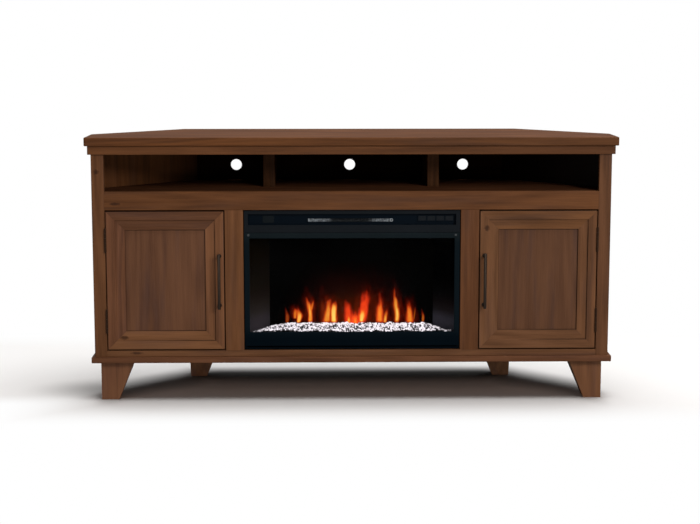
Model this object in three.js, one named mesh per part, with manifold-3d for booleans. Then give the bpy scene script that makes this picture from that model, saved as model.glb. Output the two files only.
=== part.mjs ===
// Corner media cabinet with an electric fireplace insert, in millimetres.
// Pieces are drawn with X to the right, Z up from the floor and Y from the front edge of the top to the wall.
import * as THREE from "three";
import { mergeVertices } from "three/addons/utils/BufferGeometryUtils.js";
import Module from "manifold-3d";

const wasm = await Module();
wasm.setup();

// Clearances, small radii and the fineness of round faces.
const seatGap = 0.3;
const edgeRadius = 1.6;
const cutOverrun = 4;
const samePlane = 0.001;
const edgeSegments = 3;
const roundSides = 20;
const pinSides = 12;

// Top slab, seen from above: a front edge, two short returns and two 45 degree diagonals to the wall.
const topWidth = 1702;
const topDepth = 452;
const sideReturnDepth = 171;
const topThickness = 27.5;
const topEdgeRadius = 3;

// Board under the top, stepped in from it, with its back edge flush.
const underTopThickness = 27.5;
const underTopStep = 9.5;
const underTopDiagonalStep = 10.5;

// Cabinet body, stepped in again, and its boards.
const bodyStep = 9.5;
const bodyDiagonalStep = 11;
const bodyBackInset = 7;
const boardThickness = 19;
const faceFrameThickness = 19;
const backBoardThickness = 6;

// Base board, which stands out round the body.
const baseBoardThickness = 19;
const baseBoardProjection = 10.5;

// Heights of the front, from the floor up.
const footHeight = 126.5;
const bottomRailHeight = 20;
const doorOpeningHeight = 457;
const upperRailHeight = 59.5;
const mediaBayHeight = 119;

// Widths of the front, from the middle out.
const fireplaceOpeningWidth = 699;
const midStileWidth = 59.5;
const outerStileWidth = 40;

// Feet, square in plan, upright outside and drawn in towards the floor inside.
const footTopWidth = 107;
const footBottomWidth = 56;
const frontFootSideInset = 27;
const frontFootFrontInset = 31;
const rearFootSideInset = 1;
const rearFootBackInset = 7;

// Media bays: two thick dividers and three round cable holes, placed along the back board by these shares.
const dividerShare = 0.4601;
const dividerThickness = 38;
const dividerSetback = 161;
const cableHoleRadius = 19;
const cableHoleShare = 0.7153;
const cableHoleHeight = 51.5;

// Window in the back board behind the fireplace.
const bayWindowShare = 0.62;
const bayWindowEndMargin = 30;

// Fixed shelf in each cupboard, and the magnetic catch on each partition.
const cupboardShelfThickness = 16;
const cupboardShelfSetback = 12;
const cupboardShelfHeight = 238;
const catchWidth = 11;
const catchDepth = 15;
const catchHeight = 46;
const catchDropFromTop = 40;

// Doors: four mitred strips of one stepped section, and a flat panel in their groove.
const doorSideGap = 3;
const doorEndGap = 3.75;
const doorThickness = 19;
const stripFlatWidth = 29;
const stripTrimWidth = 31.5;
const trimRecess = 4;
const panelRecess = 9;
const panelThickness = 6;
const grooveDepth = 8;
const mitreGap = 0.3;

// Bar handles on two posts.
const handleLength = 179;
const handleRadius = 4.75;
const handleEndRadius = 1.5;
const handlePostSpacing = 160;
const handlePostRadius = 3.6;
const handleFootRadius = 7;
const handleFootThickness = 3;
const handleStandoff = 27;
const handleEdgeDistance = 15;

// Butt hinges with five knuckles, their barrels standing in front of the face frame.
const hingeHeight = 76;
const hingeInset = 93;
const knuckleCount = 5;
const knuckleGap = 0.4;
const barrelRadius = 3.3;
const barrelProjection = 3.6;
const hingePinRadius = 1.5;
const hingePinClearance = 0.08;
const leafThickness = 1.3;
const leafDepth = 19;
const finialHeight = 2.4;

// Fireplace insert: the face fills the opening, a little behind the face frame.
const insertFitGap = 2;
const insertSetback = 3;
const lowerLipHeight = 10.8;
const glassFrameThickness = 8;
const glassFrameTopBar = 18;
const glassFrameSideBar = 17.5;
const glassFrameBottomBar = 46.2;
const glassThickness = 3;
const glassOverlap = 6;
const fasciaHeight = 72;
const channelSideMargin = 13;
const channelTopMargin = 11.3;
const channelHeight = 36;
const channelDepth = 14;
const channelFloorThickness = 4;
const channelWallThickness = 2;

// Air outlet in the channel, and its grille.
const grilleWidth = 274;
const grilleHeight = 13;
const grilleShift = -6;
const grilleDrop = 3.4;
const grilleThickness = 3;
const grilleRim = 1.6;
const grilleBar = 1.4;
const grilleColumns = 28;
const grilleRows = 2;

// Key pad at the right end of the channel.
const padWidth = 116;
const padHeight = 21;
const padThickness = 3;
const padSideDistance = 7;
const padTopDistance = 5;
const keyCount = 4;
const keyWidth = 25;
const keyHeight = 15;
const keyDepth = 5;
const keyProud = 1;
const keyTravel = 1.2;
const keyRestGap = 0.6;

// Sheet-metal housing behind the face, with a deck between the firebox and the heater.
const housingInset = 4.5;
const housingDepth = 178;
const sheetThickness = 1.5;
const flangeThickness = 2;
const skidWidth = 24;
const skidLength = 120;
const skidCentreDistance = 250;
const ventCount = 12;
const ventWidth = 14;
const ventHeight = 22;
const ventPitch = 30;
const glandRadius = 9;
const glandLength = 12;
const glandBoreRadius = 4;
const glandHeight = 40;
const glandSideDistance = 70;

// Firebox: slanted side reflectors with the ember pan between them, and the flame screen behind.
const fireboxDepth = 112;
const reflectorDrawIn = 70;
const emberPanHeight = 52;
const flameScreenThickness = 3;

// Bed of crushed glass: a low mound with crystals set into it.
const bedCrestHeight = 24;
const bedEdgeHeight = 8;
const bedTerraces = 4;
const bedFrontGap = 4;
const crystalRows = 3;
const crystalColumns = 16;
const crystalRadius = 10;
const crystalSpreadShare = 0.3;
const crystalTurn = 1.7;

// Flame spindle: a rod with bent reflector blades, in two brackets behind the screen.
const spindleRadius = 3;
const spindleHeight = 68;
const spindleSetback = 26;
const spindleSpan = 480;
const spindleEndLength = 8;
const spindleBladeCount = 14;
const spindleBladeLength = 24;
const spindleBladeReach = 15;
const spindleBladeThickness = 1;
const bearingClearance = 0.08;
const bracketThickness = 3;
const bracketHeight = 24;
const motorRadius = 17;
const motorLength = 20;

// Cross-flow blower in its scroll duct, with a finned heating element in the air path.
const blowerRadius = 19;
const blowerRimDepth = 5;
const blowerBladeCount = 14;
const blowerBladeThickness = 0.9;
const blowerDiscThickness = 1.5;
const blowerEndGap = 3;
const blowerSetback = 62;
const blowerShaftRadius = 3;
const scrollGap = 3;
const ductWallThickness = 1.5;
const ductCheekThickness = 3;
const ductInnerHeight = 22;
const elementFinCount = 20;
const elementFinThickness = 1;
const elementDepth = 12;
const elementSetback = 8;
const elementBarHeight = 5;
const scrollArcSteps = 12;

// Levels, from the floor up.
const baseTopZ = footHeight + baseBoardThickness;
const openingBottomZ = baseTopZ + bottomRailHeight;
const openingTopZ = openingBottomZ + doorOpeningHeight;
const mediaFloorZ = openingTopZ + upperRailHeight;
const shelfUndersideZ = mediaFloorZ - boardThickness;
const mediaCeilingZ = mediaFloorZ + mediaBayHeight;
const underTopTopZ = mediaCeilingZ + underTopThickness;
const topZ = underTopTopZ + topThickness;

// Insets of each layer from the edges of the top slab.
const slabInset = { front: 0, side: 0, diagonal: 0, back: 0 };
const underTopInset = {
  front: underTopStep,
  side: underTopStep,
  diagonal: underTopDiagonalStep,
  back: 0,
};
const bodyInset = {
  front: underTopStep + bodyStep,
  side: underTopStep + bodyStep,
  diagonal: underTopDiagonalStep + bodyDiagonalStep,
  back: bodyBackInset,
};
const baseInset = {
  front: bodyInset.front - baseBoardProjection,
  side: bodyInset.side - baseBoardProjection,
  diagonal: bodyInset.diagonal - baseBoardProjection,
  back: 0,
};

// Faces of the cabinet. Along a diagonal edge the sum of x and y stays the same: it is called the reach.
const frameFrontY = bodyInset.front;
const frameBackY = frameFrontY + faceFrameThickness;
const bodyHalfWidth = topWidth / 2 - bodyInset.side;
const sideInnerX = bodyHalfWidth - boardThickness;
const bodyBackY = topDepth - bodyInset.back;
const carcassBackY = bodyBackY - backBoardThickness;
const reachOf = (inset) => topWidth / 2 + sideReturnDepth - inset * Math.SQRT2;
const bodyReach = reachOf(bodyInset.diagonal);
const innerReach = reachOf(bodyInset.diagonal + boardThickness);
const stileInnerX = bodyHalfWidth - outerStileWidth;
const fireplaceHalfWidth = fireplaceOpeningWidth / 2;
const midStileOuterX = fireplaceHalfWidth + midStileWidth;
const partitionInnerX = midStileOuterX - boardThickness;

const wood = (tone) => new THREE.MeshStandardMaterial({ color: tone, roughness: 0.5, metalness: 0 });
const walnut = wood(0x5f3e28);
const walnutTop = wood(0x7a5640);
const walnutInside = wood(0x4a3020);
const bronze = new THREE.MeshStandardMaterial({ color: 0x2c2622, roughness: 0.4, metalness: 0.8 });
const blackSheet = new THREE.MeshStandardMaterial({ color: 0x14161a, roughness: 0.55, metalness: 0.6 });
const blackPlastic = new THREE.MeshStandardMaterial({ color: 0x1a1d21, roughness: 0.45, metalness: 0 });
const greySheet = new THREE.MeshStandardMaterial({ color: 0x3b3a3a, roughness: 0.5, metalness: 0.5 });
const brightMetal = new THREE.MeshStandardMaterial({ color: 0x9a9c9e, roughness: 0.3, metalness: 0.9 });
const glass = new THREE.MeshStandardMaterial({
  color: 0x202428,
  roughness: 0.05,
  metalness: 0,
  transparent: true,
  opacity: 0.3,
});
const crystalGlass = new THREE.MeshStandardMaterial({ color: 0xe4e6ea, roughness: 0.1, metalness: 0 });

const unitX = new THREE.Vector3(1, 0, 0);
const unitY = new THREE.Vector3(0, 1, 0);
const unitZ = new THREE.Vector3(0, 0, 1);

// A closed outline. A point is [u, v] or [u, v, r], where r is how far back the rounded corner starts.
function outlineShape(points) {
  const shape = new THREE.Shape();
  const count = points.length;
  points.forEach(([u, v, r = 0], index) => {
    const corner = new THREE.Vector2(u, v);
    const previous = new THREE.Vector2().fromArray(points[(index + count - 1) % count]);
    const next = new THREE.Vector2().fromArray(points[(index + 1) % count]);
    const enter = previous.sub(corner).setLength(r).add(corner);
    const leave = next.sub(corner).setLength(r).add(corner);
    if (index === 0) {
      shape.moveTo(enter.x, enter.y);
    } else {
      shape.lineTo(enter.x, enter.y);
    }
    if (r > 0) {
      shape.quadraticCurveTo(u, v, leave.x, leave.y);
    }
  });
  return shape;
}

// Extrudes an outline from low to high. The end faces lie exactly on those planes, so pieces can meet there.
function extrude(points, low, high, basis, { holes = [], ease = 0 } = {}) {
  const shape = outlineShape(points);
  shape.holes = holes.map(outlineShape);
  const length = high - low;
  const geometry = new THREE.ExtrudeGeometry(shape, {
    depth: length - 2 * ease,
    bevelEnabled: ease > 0,
    bevelThickness: ease,
    bevelSize: ease,
    bevelOffset: -ease,
    bevelSegments: edgeSegments,
    curveSegments: edgeSegments,
  });
  const position = geometry.getAttribute("position");
  for (let i = 0; i < position.count; i += 1) {
    const along = position.getZ(i) + ease;
    let place = low + along;
    if (Math.abs(along) < samePlane) {
      place = low;
    } else if (Math.abs(along - length) < samePlane) {
      place = high;
    }
    position.setZ(i, place);
  }
  return geometry.applyMatrix4(new THREE.Matrix4().makeBasis(...basis));
}

// Outline [x, y], extruded upwards.
function extrudeUp(points, low, high, options) {
  return extrude(points, low, high, [unitX, unitY, unitZ], options);
}

// Section [y, z], extruded from left to right.
function extrudeAcross(points, left, right, options) {
  return extrude(points, left, right, [unitY, unitZ, unitX], options);
}

// Outline [x, z], extruded from the front to the back.
function extrudeBack(points, front, back, { holes = [], ease = 0 } = {}) {
  const swapped = (outline) => outline.map(([x, z, r = 0]) => [z, x, r]).reverse();
  const options = { holes: holes.map(swapped), ease };
  return extrude(swapped(points), front, back, [unitZ, unitX, unitY], options);
}

const rectangle = (left, bottom, right, top, r = 0) => [
  [left, bottom, r],
  [right, bottom, r],
  [right, top, r],
  [left, top, r],
];

function circle(u, v, radius, sides = roundSides) {
  return Array.from({ length: sides }, (_, i) => {
    const angle = (i / sides) * 2 * Math.PI;
    return [u + radius * Math.cos(angle), v + radius * Math.sin(angle)];
  });
}

// Radius of a bore's corners, so that its flats stay clear of a shaft that turns in it.
const boreCornerRadius = (shaftRadius, clearance) => (shaftRadius + clearance) / Math.cos(Math.PI / pinSides);

const mirrored = (points, side) => points.map(([x, ...rest]) => [side * x, ...rest]);

function solidOf(shape) {
  if (!shape.isBufferGeometry) {
    return shape;
  }
  const bare = shape.clone();
  bare.deleteAttribute("normal");
  bare.deleteAttribute("uv");
  const merged = mergeVertices(bare);
  return new wasm.Manifold(
    new wasm.Mesh({
      numProp: 3,
      vertProperties: merged.getAttribute("position").array,
      triVerts: new Uint32Array(merged.index.array),
    }),
  );
}

function geometryOf(solid) {
  const { vertProperties, triVerts } = solid.getMesh();
  const geometry = new THREE.BufferGeometry();
  geometry.setAttribute("position", new THREE.BufferAttribute(vertProperties, 3));
  geometry.setIndex(new THREE.BufferAttribute(triVerts, 1));
  const flat = geometry.toNonIndexed();
  flat.computeVertexNormals();
  return flat;
}

const joined = (first, ...others) =>
  others.reduce((solid, other) => solid.add(solidOf(other)), solidOf(first));

const cut = (first, ...tools) =>
  tools.reduce((solid, tool) => solid.subtract(solidOf(tool)), solidOf(first));

const common = (first, second) => solidOf(first).intersect(solidOf(second));

function box(low, high) {
  return extrudeUp(rectangle(low[0], low[1], high[0], high[1]), low[2], high[2]);
}

// A solid of revolution about the Z axis, from [radius, z] points.
function turned(profile, sides = roundSides) {
  const points = profile.map(([radius, z]) => new THREE.Vector2(radius, z));
  return new THREE.LatheGeometry(points, sides).rotateX(Math.PI / 2);
}

// A round rod along Z.
const rod = (radius, low, high, sides) => turned([[0, low], [radius, low], [radius, high], [0, high]], sides);

function addPiece(parent, name, shape, material) {
  const geometry = shape.isBufferGeometry ? shape : geometryOf(shape);
  const mesh = new THREE.Mesh(geometry, material);
  mesh.name = name;
  parent.add(mesh);
  return mesh;
}

const sides = [
  { name: "left", side: -1 },
  { name: "right", side: 1 },
];

const stand = new THREE.Group();

// Horizontal boards that follow the corner outline.
function cornerOutline(inset, radius) {
  const halfWidth = topWidth / 2 - inset.side;
  const reach = reachOf(inset.diagonal);
  const wallY = topDepth - inset.back;
  const rightHalf = [
    [halfWidth, inset.front, radius],
    [halfWidth, reach - halfWidth, radius],
    [reach - wallY, wallY, radius],
  ];
  return [...rightHalf, ...mirrored(rightHalf, -1).reverse()];
}

// A full board of that outline: its corners are rounded twice as far as its edges are eased.
function cornerBoard(inset, ease, low, high) {
  return extrudeUp(cornerOutline(inset, 2 * ease), low, high, { ease });
}
addPiece(stand, "top_slab", cornerBoard(slabInset, topEdgeRadius, underTopTopZ, topZ), walnutTop);
addPiece(stand, "under_top", cornerBoard(underTopInset, edgeRadius, mediaCeilingZ, underTopTopZ), walnut);
addPiece(stand, "base_board", cornerBoard(baseInset, edgeRadius, footHeight, baseTopZ), walnut);

// Face frame: the outer stiles run from the base board to the board under the top, and the rails fit
// between them.
for (const { name, side } of sides) {
  const outerStile = [
    [stileInnerX, frameFrontY, edgeRadius],
    [bodyHalfWidth, frameFrontY, edgeRadius],
    [bodyHalfWidth, frameBackY],
    [stileInnerX, frameBackY],
  ];
  const outerGeometry = extrudeUp(mirrored(outerStile, side), baseTopZ, mediaCeilingZ);
  addPiece(stand, `outer_stile_${name}`, outerGeometry, walnut);

  const midStile = [
    [fireplaceHalfWidth, frameFrontY, edgeRadius],
    [midStileOuterX, frameFrontY, edgeRadius],
    [midStileOuterX, frameBackY],
    [fireplaceHalfWidth, frameBackY],
  ];
  const midGeometry = extrudeUp(mirrored(midStile, side), openingBottomZ, openingTopZ);
  addPiece(stand, `mid_stile_${name}`, midGeometry, walnut);
}

function railGeometry(bottom, top) {
  const section = [
    [frameFrontY, bottom, edgeRadius],
    [frameBackY, bottom],
    [frameBackY, top],
    [frameFrontY, top, edgeRadius],
  ];
  return extrudeAcross(section, -stileInnerX, stileInnerX);
}
addPiece(stand, "upper_rail", railGeometry(openingTopZ, mediaFloorZ), walnut);
addPiece(stand, "bottom_rail", railGeometry(baseTopZ, openingBottomZ), walnut);

// Side returns and diagonal panels, mitred where they meet.
for (const { name, side } of sides) {
  const mitreOuter = [bodyHalfWidth, bodyReach - bodyHalfWidth];
  const mitreInner = [sideInnerX, innerReach - sideInnerX];
  const returnOutline = [[sideInnerX, frameBackY], [bodyHalfWidth, frameBackY], mitreOuter, mitreInner];
  const returnGeometry = extrudeUp(mirrored(returnOutline, side), baseTopZ, mediaCeilingZ);
  addPiece(stand, `side_panel_${name}`, returnGeometry, walnut);

  const diagonalOutline = [
    mitreInner,
    mitreOuter,
    [bodyReach - carcassBackY, carcassBackY],
    [innerReach - carcassBackY, carcassBackY],
  ];
  const diagonalGeometry = extrudeUp(mirrored(diagonalOutline, side), baseTopZ, mediaCeilingZ);
  addPiece(stand, `diagonal_panel_${name}`, diagonalGeometry, walnut);
}

// Back board over the ends of the diagonals, with the cable holes and the window behind the fireplace.
const backHalfWidth = bodyReach - bodyBackY;
const windowHalfWidth = bayWindowShare * backHalfWidth;
const bayWindow = rectangle(
  -windowHalfWidth,
  baseTopZ + bayWindowEndMargin,
  windowHalfWidth,
  shelfUndersideZ - bayWindowEndMargin,
);
const cableHoles = [-cableHoleShare, 0, cableHoleShare].map((share) =>
  circle(share * backHalfWidth, mediaFloorZ + cableHoleHeight, cableHoleRadius),
);
const backOutline = rectangle(-backHalfWidth, baseTopZ, backHalfWidth, mediaCeilingZ);
const backHoles = { holes: [bayWindow, ...cableHoles] };
addPiece(stand, "back_panel", extrudeBack(backOutline, carcassBackY, bodyBackY, backHoles), walnutInside);

// The room inside the carcass, from the given front to the back board, less a gap at its walls.
function insideCarcass(frontY, gap, low, high) {
  const outerX = sideInnerX - gap;
  const reach = innerReach - gap * Math.SQRT2;
  const backY = carcassBackY - gap;
  const rightHalf = [
    [outerX, frontY],
    [outerX, reach - outerX],
    [reach - backY, backY],
  ];
  return extrudeUp([...rightHalf, ...mirrored(rightHalf, -1).reverse()], low, high);
}
const mediaShelfGeometry = insideCarcass(frameBackY, seatGap, shelfUndersideZ, mediaFloorZ);
addPiece(stand, "media_shelf", mediaShelfGeometry, walnutInside);

for (const { name, side } of sides) {
  const dividerInnerX = dividerShare * backHalfWidth;
  const dividerOuterX = dividerInnerX + dividerThickness;
  const dividerFrontY = frameFrontY + dividerSetback;
  const dividerOutline = [
    [dividerInnerX, dividerFrontY, edgeRadius],
    [dividerOuterX, dividerFrontY, edgeRadius],
    [dividerOuterX, carcassBackY],
    [dividerInnerX, carcassBackY],
  ];
  const dividerGeometry = extrudeUp(mirrored(dividerOutline, side), mediaFloorZ, mediaCeilingZ);
  addPiece(stand, `media_divider_${name}`, dividerGeometry, walnutInside);
}

// Partitions between the cupboards and the fireplace bay, each with its magnetic catch screwed on.
for (const { name, side } of sides) {
  const partitionOutline = [
    [partitionInnerX, frameBackY],
    [midStileOuterX, frameBackY],
    [midStileOuterX, carcassBackY],
    [partitionInnerX, carcassBackY],
  ];
  const room = insideCarcass(frameBackY, 0, baseTopZ, shelfUndersideZ);
  const board = common(extrudeUp(mirrored(partitionOutline, side), baseTopZ, shelfUndersideZ), room);
  const catchFrontY = frameFrontY + doorThickness + seatGap;
  const catchOutline = [
    [midStileOuterX - edgeRadius, catchFrontY],
    [midStileOuterX + catchWidth, catchFrontY],
    [midStileOuterX + catchWidth, catchFrontY + catchDepth, edgeRadius],
    [midStileOuterX - edgeRadius, catchFrontY + catchDepth],
  ];
  const catchTopZ = openingTopZ - catchDropFromTop;
  const catchBlock = extrudeUp(mirrored(catchOutline, side), catchTopZ - catchHeight, catchTopZ);
  addPiece(stand, `bay_partition_${name}`, joined(board, catchBlock), walnutInside);

  const shelfInnerX = midStileOuterX + seatGap;
  const shelfFrontY = frameBackY + cupboardShelfSetback;
  const shelfBottomZ = baseTopZ + cupboardShelfHeight;
  const shelfTopZ = shelfBottomZ + cupboardShelfThickness;
  const besidePartition = rectangle(shelfInnerX, 0, bodyHalfWidth, bodyBackY);
  const cupboard = extrudeUp(mirrored(besidePartition, side), shelfBottomZ, shelfTopZ);
  const shelf = common(insideCarcass(shelfFrontY, seatGap, shelfBottomZ, shelfTopZ), cupboard);
  addPiece(stand, `cupboard_shelf_${name}`, shelf, walnutInside);
}

// Feet. The inner faces slant on both sides, so a foot is what two tapered slices have in common.
function footGeometry(inwardX, inwardY) {
  const slice = (inward) => [
    [0, 0, edgeRadius],
    [inward * footBottomWidth, 0, edgeRadius],
    [inward * footTopWidth, footHeight],
    [0, footHeight],
  ];
  const rangeOf = (inward) => [0, inward * footTopWidth].sort((a, b) => a - b);
  const seenFromFront = extrudeBack(slice(inwardX), ...rangeOf(inwardY));
  const seenFromSide = extrudeAcross(slice(inwardY), ...rangeOf(inwardX));
  return common(seenFromFront, seenFromSide);
}

const baseHalfWidth = topWidth / 2 - baseInset.side;
const baseBackHalfWidth = reachOf(baseInset.diagonal) - topDepth;
for (const { name, side } of sides) {
  const front = addPiece(stand, `foot_front_${name}`, footGeometry(-side, 1), walnut);
  front.position.set(side * (baseHalfWidth - frontFootSideInset), baseInset.front + frontFootFrontInset, 0);
  const rear = addPiece(stand, `foot_rear_${name}`, footGeometry(-side, -1), walnut);
  rear.position.set(side * (baseBackHalfWidth - rearFootSideInset), topDepth - rearFootBackInset, 0);
}

// Doors. Each is drawn about its hinge axis, for the right side, and mirrored for the left.
const hingeAxisX = stileInnerX - doorSideGap / 2;
const hingeAxisY = frameFrontY - barrelProjection;
const doorFaceY = frameFrontY - hingeAxisY;
const doorOuterX = -doorSideGap / 2;
const doorLatchX = midStileOuterX + doorSideGap - hingeAxisX;
const doorBottomZ = openingBottomZ + doorEndGap;
const doorTopZ = openingTopZ - doorEndGap;
const doorMiddleZ = (doorBottomZ + doorTopZ) / 2;

// Section of a door strip: distance in from the door's edge, and depth behind its face.
const stripWidth = stripFlatWidth + stripTrimWidth;
const grooveFront = panelRecess - seatGap;
const grooveBack = panelRecess + panelThickness + seatGap;
const stripSection = [
  [0, 0, edgeRadius],
  [stripFlatWidth, 0, edgeRadius],
  [stripFlatWidth, trimRecess],
  [stripWidth, trimRecess, edgeRadius],
  [stripWidth, grooveFront],
  [stripWidth - grooveDepth, grooveFront],
  [stripWidth - grooveDepth, grooveBack],
  [stripWidth, grooveBack],
  [stripWidth, doorThickness],
  [0, doorThickness],
];

// A strip of the stepped section along one edge of the door, with both ends mitred at 45 degrees.
function mitredStrip(origin, inward, run, length) {
  const geometry = new THREE.ExtrudeGeometry(outlineShape(stripSection), {
    depth: length,
    bevelEnabled: false,
    curveSegments: edgeSegments,
  });
  const position = geometry.getAttribute("position");
  for (let i = 0; i < position.count; i += 1) {
    const shift = position.getX(i) + mitreGap / 2;
    const atStart = position.getZ(i) < length / 2;
    position.setZ(i, atStart ? shift : length - shift);
  }
  const placed = new THREE.Matrix4().makeBasis(inward, unitY, run).setPosition(origin);
  return geometry.applyMatrix4(placed);
}

function hingeLeaf(isFrameLeaf, side) {
  const pitch = hingeHeight / knuckleCount;
  const outward = isFrameLeaf ? side : -side;
  const nearX = doorSideGap / 2 - leafThickness;
  const farX = doorSideGap / 2;
  const clearY = barrelRadius + knuckleGap;
  const plateEndY = doorFaceY + leafDepth - edgeRadius;
  const leafX = [outward * nearX, outward * farX].sort((a, b) => a - b);
  const plate = box([leafX[0], clearY, -hingeHeight / 2], [leafX[1], plateEndY, hingeHeight / 2]);
  const knuckles = [];
  for (let i = isFrameLeaf ? 0 : 1; i < knuckleCount; i += 2) {
    const low = -hingeHeight / 2 + i * pitch + knuckleGap / 2;
    const high = low + pitch - knuckleGap;
    knuckles.push(rod(barrelRadius, low, high));
    knuckles.push(box([leafX[0], 0, low], [leafX[1], clearY + knuckleGap, high]));
  }
  const halfPin = hingeHeight / 2;
  if (!isFrameLeaf) {
    const boreRadius = boreCornerRadius(hingePinRadius, hingePinClearance);
    const reach = halfPin + cutOverrun;
    const bore = rod(boreRadius, -reach, reach, pinSides);
    return cut(joined(plate, ...knuckles), bore);
  }
  const pin = rod(hingePinRadius, -halfPin, halfPin, pinSides);
  const finialStart = halfPin - knuckleGap;
  const finialTip = halfPin + finialHeight;
  const finial = (sign) => {
    const profile = [
      [0, sign * finialStart],
      [barrelRadius, sign * finialStart],
      [hingePinRadius, sign * finialTip],
      [0, sign * finialTip],
    ];
    return turned(sign > 0 ? profile : profile.reverse());
  };
  return joined(plate, ...knuckles, pin, finial(1), finial(-1));
}

function handleGeometry() {
  const half = handleLength / 2;
  const barY = doorFaceY - handleStandoff;
  const bar = turned([
    [0, -half],
    [handleRadius - handleEndRadius, -half],
    [handleRadius, -half + handleEndRadius],
    [handleRadius, half - handleEndRadius],
    [handleRadius - handleEndRadius, half],
    [0, half],
  ]).translate(0, barY, 0);
  const posts = [-handlePostSpacing / 2, handlePostSpacing / 2].flatMap((z) => [
    extrudeBack(circle(0, z, handlePostRadius), barY, doorFaceY),
    extrudeBack(circle(0, z, handleFootRadius), doorFaceY - handleFootThickness, doorFaceY),
  ]);
  return joined(bar, ...posts);
}

for (const { name, side } of sides) {
  const door = new THREE.Group();
  door.position.set(side * hingeAxisX, hingeAxisY, 0);
  stand.add(door);

  const width = doorOuterX - doorLatchX;
  const height = doorTopZ - doorBottomZ;
  const leftX = side > 0 ? doorLatchX : -doorOuterX;
  const rightX = leftX + width;
  const leftRole = side > 0 ? "latch_stile" : "hinge_stile";
  const rightRole = side > 0 ? "hinge_stile" : "latch_stile";
  const strips = [
    { role: leftRole, at: [leftX, doorBottomZ], inward: [1, 0], run: [0, 1], length: height },
    { role: "top_rail", at: [leftX, doorTopZ], inward: [0, -1], run: [1, 0], length: width },
    { role: rightRole, at: [rightX, doorTopZ], inward: [-1, 0], run: [0, -1], length: height },
    { role: "bottom_rail", at: [rightX, doorBottomZ], inward: [0, 1], run: [-1, 0], length: width },
  ];
  for (const { role, at, inward, run, length } of strips) {
    const origin = new THREE.Vector3(at[0], doorFaceY, at[1]);
    const inwardAxis = new THREE.Vector3(inward[0], 0, inward[1]);
    const runAxis = new THREE.Vector3(run[0], 0, run[1]);
    addPiece(door, `${name}_door_${role}`, mitredStrip(origin, inwardAxis, runAxis, length), walnut);
  }

  const panelInset = stripWidth - grooveDepth + seatGap;
  const panelOutline = rectangle(
    leftX + panelInset,
    doorBottomZ + panelInset,
    rightX - panelInset,
    doorTopZ - panelInset,
  );
  const panelFrontY = doorFaceY + panelRecess;
  const panelGeometry = extrudeBack(panelOutline, panelFrontY, panelFrontY + panelThickness);
  addPiece(door, `${name}_door_panel`, panelGeometry, walnut);

  const handle = addPiece(door, `${name}_door_handle`, handleGeometry(), bronze);
  handle.position.set(side * (doorLatchX + handleEdgeDistance), 0, doorMiddleZ);

  const hingeLevels = { lower: doorBottomZ + hingeInset, upper: doorTopZ - hingeInset };
  for (const [level, hingeZ] of Object.entries(hingeLevels)) {
    const doorLeaf = addPiece(door, `${name}_door_hinge_leaf_${level}`, hingeLeaf(false, side), bronze);
    doorLeaf.position.z = hingeZ;
    const frameLeaf = addPiece(stand, `hinge_frame_leaf_${name}_${level}`, hingeLeaf(true, side), bronze);
    frameLeaf.position.set(side * hingeAxisX, hingeAxisY, hingeZ);
  }
}

// Fireplace insert, drawn from the bottom middle of its face.
const insert = new THREE.Group();
insert.position.set(0, frameFrontY + insertSetback, openingBottomZ + insertFitGap);
stand.add(insert);

const insertHalfWidth = fireplaceHalfWidth - insertFitGap;
const insertHeight = doorOpeningHeight - 2 * insertFitGap;
const fasciaBottomZ = insertHeight - fasciaHeight;
const glassFrameTopZ = fasciaBottomZ - seatGap;
const glassHalfWidth = insertHalfWidth - glassFrameSideBar;
const glassBottomZ = lowerLipHeight + glassFrameBottomBar;
const glassTopZ = glassFrameTopZ - glassFrameTopBar;

// Glass frame with a rebate behind its window, and the pane in the rebate.
const paneHalfWidth = glassHalfWidth + glassOverlap;
const paneBottomZ = glassBottomZ - glassOverlap;
const paneTopZ = glassTopZ + glassOverlap;
const paneFrontY = glassFrameThickness - seatGap - glassThickness;
const glassFrameOutline = rectangle(-insertHalfWidth, lowerLipHeight, insertHalfWidth, glassFrameTopZ);
const glassWindow = rectangle(-glassHalfWidth, glassBottomZ, glassHalfWidth, glassTopZ);
const glassFrameBlank = extrudeBack(glassFrameOutline, 0, glassFrameThickness, {
  holes: [glassWindow],
  ease: edgeRadius,
});
const rebate = box(
  [-paneHalfWidth - seatGap, paneFrontY - seatGap, paneBottomZ - seatGap],
  [paneHalfWidth + seatGap, glassFrameThickness + cutOverrun, paneTopZ + seatGap],
);
addPiece(insert, "glass_frame", cut(glassFrameBlank, rebate), blackSheet);
const pane = box(
  [-paneHalfWidth, paneFrontY, paneBottomZ],
  [paneHalfWidth, paneFrontY + glassThickness, paneTopZ],
);
addPiece(insert, "glass_pane", pane, glass);

// Fascia above the glass. Its channel is a tub that reaches back through the housing's flange.
const channelHalfWidth = insertHalfWidth - channelSideMargin;
const channelTopZ = insertHeight - channelTopMargin;
const channelBottomZ = channelTopZ - channelHeight;
const channelMiddleZ = (channelTopZ + channelBottomZ) / 2;
const tubBackY = channelDepth + channelFloorThickness;
const padRightX = channelHalfWidth - padSideDistance;
const padLeftX = padRightX - padWidth;
const padTopZ = channelTopZ - padTopDistance;
const padBottomZ = padTopZ - padHeight;
const padFaceY = channelDepth - padThickness;
const padMiddleZ = (padTopZ + padBottomZ) / 2;
const keyPitch = padWidth / keyCount;
const keyCentres = Array.from({ length: keyCount }, (_, i) => padLeftX + (i + 1 / 2) * keyPitch);
const keyPocketBackY = padFaceY - keyProud + keyDepth + keyTravel + keyRestGap;

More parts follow.
